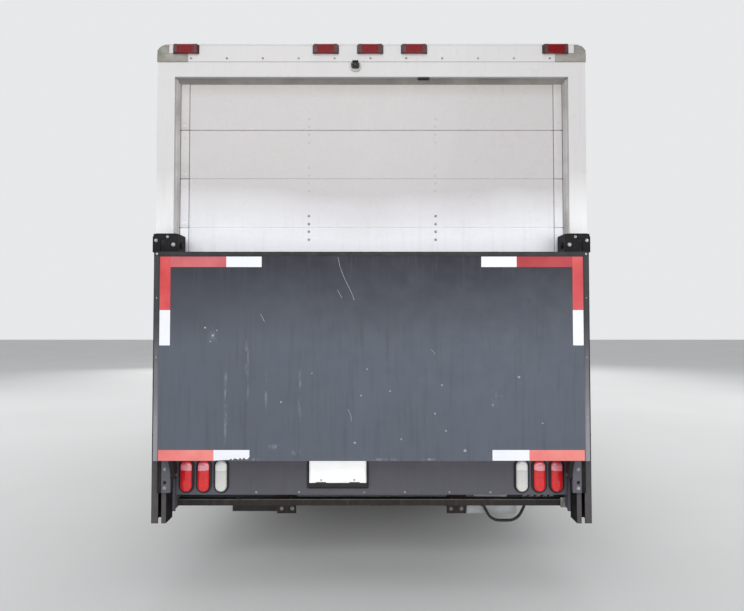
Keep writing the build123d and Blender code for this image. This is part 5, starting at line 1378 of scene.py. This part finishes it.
def box_sides():
    splices = Piece("side_splices", "white_paint")
    rivets = Piece("side_rivets", "bare_aluminium", paint=MATS["rivet"])
    count = 7
    span = (BOX_FRONT - 60 - (F + 140)) / count
    for k in range(count + 1):
        y = F + 140 + span * k
        if 0 < k < count:
            splices.box((PANEL - 1, PANEL + 1.6), (y - 26, y + 26), (851, BOX_TOP - 62), 0.8, 1)
        for row in range(19):
            for dy in (-15, 15) if 0 < k < count else (0,):
                rivets.dome((PANEL + (1.6 if 0 < k < count else 0), y + dy, 890 + row * 104),
                            (1, 0, 0), 5.5, 2, 8)
    splices.done(both=True)
    for k in range(41):
        y = F + 110 + k * (BOX_FRONT - F - 170) / 40
        rivets.dome((BOX_HALF, y, 764), (1, 0, 0), 5.5, 2, 8)
        rivets.dome((BOX_HALF, y, 832), (1, 0, 0), 5.5, 2, 8)
        rivets.dome((BOX_HALF, y, BOX_TOP - 20), (1, 0, 0), 5.5, 2, 8)
    rivets.done(both=True)
    red = Piece("side_tape_red", "red_lens", paint=MATS["tape_red"])
    white = Piece("side_tape_white", "plate_white", paint=MATS["tape_white"])
    for k in range(6):
        y = F + 150 + k * (BOX_FRONT - F - 790) / 5
        for piece, y0, y1 in ((red, y, y + 280), (white, y + 280, y + 460)):
            piece.prism(rounded(y0, y1, 773, 823, 1.5, 2), 0, BOX_HALF + 0.1, BOX_HALF + 0.6)
    red.done(both=True)
    white.done(both=True)
    rail = Piece("base_rail_lip", "bare_aluminium", paint=MATS["cap"])
    rail.prism([(BOX_HALF - 3, 739), (BOX_HALF + 3, 739), (BOX_HALF + 3, 743), (BOX_HALF + 1, 745),
                (BOX_HALF - 3, 745)], 1, F + 102, BOX_FRONT - 44, 0.6)
    rail.prism([(BOX_HALF - 2, BOX_TOP - 4), (BOX_HALF + 2.5, BOX_TOP - 4),
                (BOX_HALF + 2.5, BOX_TOP + 1.5), (BOX_HALF - 8, BOX_TOP + 1.5)], 1, F + 102,
               BOX_FRONT - 44, 0.6)
    rail.done(both=True)
    for name, slot, y in (("amber", "amber_lens", BOX_FRONT - 130), ("middle", "amber_lens",
                          (F + BOX_FRONT) / 2), ("red", "dark_red_lens", F + 60)):
        base = Piece("side_lamp_base_" + name, "black_plastic")
        base.prism(rounded(y - 52, y + 52, 846 if name != "red" else 752,
                           882 if name != "red" else 788, 10), 0, BOX_HALF - 6, BOX_HALF + 6, 2)
        base.done(both=True)
        lamp = Piece("side_lamp_" + name, slot)
        z0 = 850 if name != "red" else 756
        lamp.prism(rounded(y - 46, y + 46, z0, z0 + 28, 8), 0, BOX_HALF + 3, BOX_HALF + 15, 4, 3)
        for k in range(8):
            lamp.box((BOX_HALF + 14, BOX_HALF + 16), (y - 34 + k * 9, y - 29 + k * 9),
                     (z0 + 4, z0 + 24), 0.8, 1)
        lamp.done(both=True)


def box_front():
    trims = Piece("front_corner_trims", "white_paint")
    rivets = Piece("front_rivets", "bare_aluminium", paint=MATS["rivet"])
    toward = (0, 1, 0)
    for row in range(21):
        rivets.dome((BOX_HALF - 70, BOX_FRONT, 800 + row * 100), toward, 5.5, 2, 8)
        rivets.dome((380, BOX_FRONT + 1.4, 800 + row * 100), toward, 5.5, 2, 8)
    trims.box((355, 405), (BOX_FRONT - 1, BOX_FRONT + 1.5), (752, BOX_TOP - 66), 0.7, 1)
    trims.prism([(BOX_FRONT - 1, BOX_TOP - 70), (BOX_FRONT + 2.5, BOX_TOP - 66),
                 (BOX_FRONT + 2.5, BOX_TOP - 58), (BOX_FRONT - 1, BOX_TOP - 54)], 0, 0,
                BOX_HALF - 42)
    trims.done(both=True)
    rivets.done(both=True)
    roof = Piece("roof_bow_lines", "white_paint")
    roof_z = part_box("box_roof")[1][2] * 1000
    for k in range(7):
        y = F + 320 + k * (BOX_FRONT - F - 560) / 6
        roof.prism([(y - 30, roof_z - 3), (y - 26, roof_z + 2.2), (y + 26, roof_z + 2.2),
                    (y + 30, roof_z - 3)], 0, -1060, 1060)
    roof.done()
    domes = Piece("roof_rivets", "bare_aluminium", paint=MATS["rivet"])
    for k in range(7):
        y = F + 320 + k * (BOX_FRONT - F - 560) / 6
        for step in range(11):
            domes.dome((-1000 + 200 * step, y, roof_z + 2), (0, 0, 1), 6, 2, 8)
    domes.done()


# The cab's inside: padded seats, belts, instruments and pedals
def pad(name, at, size, corner, crown, channels, body="chassis", lean=0.0, tuck=6.0):
    """A stuffed cushion: crowned on all its faces, its sides drawn in at the seams, and sewn
    channels across its front. size is (width, depth, height) with the crown on the top face."""
    w, d, h = size
    nx, ny, nz = 18, 18, 6
    points, faces = {}, []

    def key(i, j, k):
        if (i, j, k) not in points:
            points[i, j, k] = len(points)
        return points[i, j, k]

    for i in range(nx):
        for j in range(ny):
            faces.append([key(i, j, nz), key(i + 1, j, nz), key(i + 1, j + 1, nz), key(i, j + 1, nz)])
            faces.append([key(i, j, 0), key(i, j + 1, 0), key(i + 1, j + 1, 0), key(i + 1, j, 0)])
    for i in range(nx):
        for k in range(nz):
            faces.append([key(i, 0, k), key(i + 1, 0, k), key(i + 1, 0, k + 1), key(i, 0, k + 1)])
            faces.append([key(i, ny, k), key(i, ny, k + 1), key(i + 1, ny, k + 1), key(i + 1, ny, k)])
    for j in range(ny):
        for k in range(nz):
            faces.append([key(0, j, k), key(0, j, k + 1), key(0, j + 1, k + 1), key(0, j + 1, k)])
            faces.append([key(nx, j, k), key(nx, j + 1, k), key(nx, j + 1, k + 1), key(nx, j, k + 1)])
    piece = Piece(name, "seat_fabric", body)
    turn = Matrix.Rotation(math.radians(lean), 4, "X")
    verts = []
    for (i, j, k), index in sorted(points.items(), key=lambda entry: entry[1]):
        u, v, t = 2 * i / nx - 1, 2 * j / ny - 1, 2 * k / nz - 1
        # Round corners in plan, then the swell of the filling
        su, sv = abs(u) ** 6, abs(v) ** 6
        x = u * (w / 2 - corner * sv * abs(u))
        y = v * (d / 2 - corner * su * abs(v))
        swell = (1 - u ** 4) * (1 - v ** 4)
        z = t * (h / 2 - 0.34 * h * max(su, sv) ** 2 * 0.6)
        if t > 0:
            z += t * crown * swell
            for line in channels:
                near = math.exp(-((v - line) * d / 2 / 9) ** 2)
                z -= t ** 8 * tuck * near * (1 - u ** 8)
            side = math.exp(-((abs(u) - 0.68) * w / 2 / 9) ** 2)
            z -= t ** 8 * tuck * side * (1 - v ** 8)
            if abs(u) > 0.68:
                z += t * 9 * (1 - v ** 6) * math.sin(math.pi * (abs(u) - 0.68) / 0.32)
        bulge = (1 - t * t) * 5
        x += math.copysign(bulge * (1 - sv), u) * abs(u) ** 8
        y += math.copysign(bulge * (1 - su), v) * abs(v) ** 8
        verts.append(piece.mesh.verts.new(Vector(at) + turn @ Vector((x, y, z))))
    for face in faces:
        piece.mesh.faces.new([verts[n] for n in face])
    made = piece.done(sharp=180, detail=2)
    return made


def seat_set():
    bases = Piece("seat_bases", "black_plastic")
    for side, out in (("left", -1), ("right", 1)):
        x = out * 560
        bases.prism(rounded(AX - 1150, AX - 800, 730, 926, 14), 0, x - 176, x + 176, 6)
        for dx in (-150, 150):
            bases.prism(rounded(AX - 1180, AX - 760, 926, 944, 4), 0, x + dx - 16, x + dx + 16, 2)
        bases.turned([(0, 0), (0, 24), (14, 22), (18, 0)], (x + out * 178, AX - 1010, 900),
                     (out, 0, 0), 20)
        pad("seat_cushion_" + side, (x, AX - 975, 975), (452, 500, 78), 26, 12,
                         (-0.45, 0.0, 0.45), lean=3)
        pad("seat_back_" + side, (x, AX - 1232, 1308), (430, 560, 84), 34, 10,
                         (-0.5, -0.1, 0.3), lean=-278.5)
        pad("head_rest_" + side, (x, AX - 1298, 1692), (232, 138, 78), 26, 8, (),
                         lean=-276)
        for dx in (-52, 52):
            bases.rod((x + dx, AX - 1278, 1560), (x + dx, AX - 1294, 1650), 6)
    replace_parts(bases.done(), "seats")
    belts = Piece("seat_belts", "black_plastic")
    for out in (-1, 1):
        line = [(out * 868, AX - 1340, 1640), (out * 905, AX - 1330, 1300), (out * 928, AX - 1300, 900),
                (out * 930, AX - 1290, 790)]
        for a, b in zip(line, line[1:]):
            a, b = Vector(a), Vector(b)
            belts.tube([a, b], 22, 8, False, 0.06)
        belts.turned([(0, 0), (0, 26), (9, 24), (12, 10), (12, 0)], (out * 880, AX - 1340, 1648),
                     (-out, 0, 0), 20)
        belts.prism(rounded(AX - 1318, AX - 1258, 742, 812, 8), 0, *sorted((out * 915, out * 945)), 3)
        belts.prism([(out * 348, 960), (out * 372, 960), (out * 372, 1050), (out * 364, 1068),
                     (out * 352, 1068)], 1, AX - 1130, AX - 1112, 3)
    belts.done()


def dash_trim():
    def face(z):
        return AX - 400 - 20 * (z - 1010) / 120
    y = face(1075) - 1
    dark = Piece("gauge_glass", "black_plastic", paint=MATS["dark_glass"])
    dark.prism(rounded(-590, -250, 1040, 1122, 20), 1, y - 8, y + 4, 2)
    dark.prism(rounded(-110, 110, 1062, 1112, 6), 1, y - 6, y + 4, 2)
    dark.done()
    rims = Piece("gauge_rims", "bare_aluminium", paint=MATS["chrome"])
    # The marks and needles take the plate's and the red lens's paints, whose faint glow is painted light
    # here.
    pale = Piece("gauge_marks", "plate_white")
    red = Piece("gauge_needles", "red_lens")
    for x, r in ((-490, 34), (-350, 34), (-420, 20), (-566, 15), (-274, 15)):
        rims.ring((x, y - 8.5, 1080), BACK, r, 1.6, 32, 6)
        for k in range(11):
            a = math.radians(225 - 27 * k)
            pale.rod((x + (r - 7) * math.cos(a), y - 9, 1080 + (r - 7) * math.sin(a)),
                     (x + (r - 3) * math.cos(a), y - 9, 1080 + (r - 3) * math.sin(a)), 0.9, 6)
        red.rod((x, y - 10, 1080), (x - r * 0.6, y - 10, 1080 - r * 0.35), 1.1, 6)
        red.turned([(0, 0), (0, 3), (2.5, 2), (2.5, 0)], (x, y - 9, 1080), BACK, 12)
    rims.done()
    pale.done()
    red.done()
    vents = Piece("dash_vents", "black_plastic")
    for x in (-860, -680, 200, 420, 690, 860):
        vents.tube([(px, y - 3, pz) for px, pz in rounded(x - 56, x + 56, 1056, 1116, 10)], 4, 6, True)
        for k in range(6):
            vents.prism([(y - 5, 1062 + k * 9), (y + 2, 1065 + k * 9), (y + 2, 1067 + k * 9),
                         (y - 5, 1064 + k * 9)], 0, x - 52, x + 52)
        vents.box((x - 3, x + 3), (y - 9, y - 2), (1076, 1096), 1.5)
    for k in range(5):
        x = -80 + 40 * k
        vents.turned([(0, 0), (0, 13), (12, 11), (14, 0)], (x, face(1036) - 1, 1036), BACK, 20)
    vents.prism(rounded(330, 850, 1030, 1046, 6), 1, face(1038) - 6, face(1038) + 4, 2)
    vents.done()
    pedals = Piece("pedals", "black_plastic")
    for x, z, w, h in ((-500, 850, 90, 64), (-340, 830, 54, 130)):
        pedals.prism(rounded(x - w / 2, x + w / 2, z - h / 2, z + h / 2, 10), 1, AX - 262, AX - 248, 4)
        for k in range(5):
            pedals.box((x - w / 2 + 6, x + w / 2 - 6), (AX - 265, AX - 261),
                       (z - h / 2 + 8 + k * (h - 20) / 4, z - h / 2 + 12 + k * (h - 20) / 4), 1)
        pedals.tube([(x, AX - 250, z), (x, AX - 180, z + 60), (x, AX - 120, z + 190)], 9, 8)
    pedals.done()
    stalks = Piece("column_trim", "black_plastic")
    stalks.tube([(-440, AX - 500, 1120), (-520, AX - 515, 1130), (-575, AX - 522, 1134)], 7, 8)
    stalks.tube([(-400, AX - 500, 1120), (-310, AX - 520, 1150), (-270, AX - 528, 1168)], 8, 8)
    stalks.turned([(-16, 0), (-14, 10), (0, 15), (14, 10), (16, 0)], (-268, AX - 528, 1168), (1, 0, 0.2), 16)
    stalks.done()
    mirror = Piece("inside_mirror", "black_plastic")
    at = Vector((0, screen_y(1850), 1850)) - SCREEN_OUT * 14
    mirror.prism(rounded(-120, 120, 1790, 1850, 24), 1, at.y - 62, at.y - 44, 5)
    mirror.tube([at, at + Vector((0, -24, -18)), at + Vector((0, -46, -30))], 7, 8)
    mirror.done()
    for side, out in (("left", -1), ("right", 1)):
        visor = Piece("sun_visor_" + side, "grey_plastic")
        x0, x1 = sorted((out * 180, out * 640))
        visor.prism(rounded(x0, x1, AX - 800, AX - 655, 24), 2, 1996, 2010, 5)
        visor.done()


# Under the hood
def engine_bay():
    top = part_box("engine_block")[1][2] * 1000
    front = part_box("engine_block")[1][1] * 1000
    covers = Piece("valve_covers", "cast_steel", paint=MATS["rail_edge"])
    for x in (-150, 150):
        covers.prism(rounded(x - 75, x + 75, front - 120, front - 6, 22), 2, top - 1, top + 26, 8, 3)
    covers.done()
    pulleys = Piece("engine_pulleys", "cast_steel", paint=MATS["zinc"])
    for x, z, r in ((0, 600, 95), (0, 820, 80), (-180, 900, 48), (180, 900, 52), (170, 700, 40)):
        pulleys.turned([(0, 0), (0, r), (6, r), (10, r - 9), (18, r - 9), (22, r), (28, r),
                        (28, r * 0.5), (34, r * 0.3), (34, 0)], (x, front - 1, z), (0, 1, 0), 40)
    pulleys.done()
    belt = Piece("drive_belt", "black_plastic", paint=MATS["grommet"])
    belt.tube([(88, front + 14, 600), (208, front + 14, 720), (232, front + 14, 905),
               (180, front + 14, 950), (0, front + 14, 895), (-180, front + 14, 946),
               (-226, front + 14, 895), (-92, front + 14, 620), (-50, front + 14, 520),
               (50, front + 14, 515)], 8, 6, True)
    belt.done()
    fan = Piece("fan", "black_plastic")
    fan.rod((0, front + 32, 820), (0, front + 96, 820), 42, 28)
    for k in range(7):
        a = 2 * math.pi * k / 7
        rows = []
        for t in range(6):
            r = 40 + 150 * t / 5
            row = []
            for c in (-1, 0, 1):
                turn = a + c * (0.36 - 0.04 * t)
                row.append((r * math.cos(turn), front + 72 + c * 16, 820 + r * math.sin(turn)))
            rows.append(row)
        fan.sheet(rows, 3)
    fan.done()
    shroud = Piece("fan_shroud", "black_plastic")
    shroud.turned([(0, 214), (0, 220), (80, 226), (80, 218)], (0, front + 48, 820), (0, 1, 0), 56,
                  closed=True)
    shroud.done()
    hoses = Piece("coolant_hoses", "black_plastic", paint=MATS["grommet"])
    hoses.tube([(120, front - 20, 1040), (150, front + 60, 1050), (210, front + 200, 1030),
                (250, AX + 560, 1000), (250, AX + 600, 985)], 20, 12)
    hoses.tube([(-90, front + 20, 640), (-200, front + 100, 620), (-300, front + 260, 700),
                (-320, AX + 600, 760)], 22, 12)
    hoses.done()
    # The washer tank wears the clear lens paint, whose faint glow is painted light on a part that is no
    # lamp.
    tank = Piece("washer_tank", "clear_lens")
    tank.prism(rounded(470, 620, AX + 380, AX + 560, 26), 2, 800, 960, 12, 3)
    tank.done()
    box = Piece("under_hood_boxes", "black_plastic")
    box.prism(rounded(-680, -490, AX + 360, AX + 560, 14), 2, 800, 975, 6)
    box.turned([(0, 0), (0, 70), (10, 78), (60, 78), (66, 60), (66, 0)], (380, AX + 330, 900),
               (0, 0, 1), 40)
    for x in (-640, -530):
        box.turned([(0, 0), (0, 11), (14, 10), (14, 0)], (x, AX + 420, 973), (0, 0, 1), 16)
    box.prism(rounded(-690, 690, AX + 300, AX + 640, 20), 2, 786, 799, 3)
    box.done()


# Under the floor: clamps on the springs, the leaves' edges, dampers, and mud flaps on their plates
def underside():
    clamps = Piece("spring_clamps", "cast_steel")
    for y in (RX - 70, RX + 70):
        for dx in (-38, 38):
            clamps.rod((522 + dx, y, 300), (522 + dx, y, 486), 8)
            clamps.bolt((522 + dx, y, 300), (0, 0, -1), 12)
    clamps.box((472, 572), (RX - 92, RX + 92), (300, 314), 4)
    clamps.done(both=True)
    leaves = Piece("leaf_edges", "chassis_paint")
    for k, reach in enumerate((560, 440, 320, 210)):
        z = 452 + k * 1.5
        leaves.tube([(556, RX - reach, z + 78 * (reach / 640) ** 2), (556, RX - reach / 2, z + 20
                     * (reach / 640) ** 2 + 6), (556, RX, z), (556, RX + reach / 2, z + 20
                     * (reach / 640) ** 2 + 6), (556, RX + reach, z + 78 * (reach / 640) ** 2)],
                    5, 6, False, 0.5)
    leaves.done(both=True)
    damper = Piece("dampers", "black_plastic")
    for y, z0, z1 in ((RX + 150, 330, 640),):
        damper.rod((455, y, z0), (455, y + 60, (z0 + z1) / 2), 26, 20)
        damper.rod((455, y + 60, (z0 + z1) / 2), (455, y + 110, z1), 15, 16)
    damper.done(both=True)
    flaps = Piece("mud_flaps", "black_plastic", paint=MATS["grommet"])
    rows = []
    for k in range(9):
        z = 735 - k * 62
        rows.append([(x, RX - 470 - 10 * math.sin(k / 8 * 2.2) + 4 * math.sin(x / 60), z)
                     for x in range(640, 1101, 46)])
    flaps.sheet(rows, 6)
    flaps.done(both=True)
    plates = Piece("flap_plates", "bare_aluminium", paint=MATS["zinc"])
    plates.box((636, 1104), (RX - 478, RX - 473), (700, 738), 1.5)
    for x in (680, 790, 900, 1010, 1070):
        plates.bolt((x, RX - 478, 718), BACK, 7)
    plates.done(both=True)


def dress_nodes():
    for row in frame["record"]["subparts"]:
        node = nodes[row["node"]]
        for place in node.material_slots:
            place.material = NODE_PAINT.get(row["node"]) or MATS[row["material_slot"]]


def below(axis, limit):
    """1 where a point lies under a limit, in metres, along an axis."""
    return lambda p: p.math("LESS_THAN", p.axis(axis), limit)


NODE_PAINT = {
    # The frame's white is darker above about 2.1 m, so lighter low down: painted light.
    "rear_frame": painted("frame_paint", tone(237, 237, 237), tone(176, 172, 166), 0.32, 0.1, 0.2,
                          spec=0.4, shading_by_height=(tone(206, 204, 204), 1.9, 2.2)),
    "lift_platform": platform_paint(),
    # The plate's white glows faintly: painted light that brightens it where the platform shades it.
    "number_plate": two_tone("plate_in_holder", below(1, F / 1000 + 0.0115), tone(252, 252, 252),
                             tone(30, 30, 31), 0.45, glow=0.3),
    "rear_camera": two_tone("camera_body", below(1, F / 1000 - 0.0085), tone(24, 24, 26),
                            tone(196, 195, 192), 0.5),
    "underride_bar": MATS["chassis_paint"],
    "lift_pump": pump_paint(),
    "headlamps": headlamp_paint(),
    "lift_rails": rail_finish(),
}


def floor():
    p = Paint("floor", rough=0.8, spec=0.2)
    p.colour(p.mix(p.fit(p.noise(0.5, 2), 0.3, 0.7), tone(212, 212, 211), tone(216, 216, 215)))
    mesh = bpy.data.meshes.new("floor")
    r = 40
    mesh.from_pydata([(-r, -r, 0), (r, -r, 0), (r, r, 0), (-r, r, 0)], [], [(0, 1, 2, 3)])
    made = bpy.data.objects.new("floor", mesh)
    bpy.context.collection.objects.link(made)
    mesh.materials.append(p.bump(p.noise(60, 3), 0.002, 0.2).material)


bpy.context.scene.view_settings.view_transform = "Standard"
set_camera()
set_world()
floor()
for name, place, aim, size, power in LIGHTS:
    area_light(name, place, aim, size, power)
dress_nodes()
header()
rear_camera()
roll_door()
lift_rails()
platform()
rear_lamps()
number_plate()
rear_sill()
wheels()
screen()
door_trim()
cab_front()
cab_sides()
box_sides()
box_front()
seat_set()
dash_trim()
engine_bay()
underside()
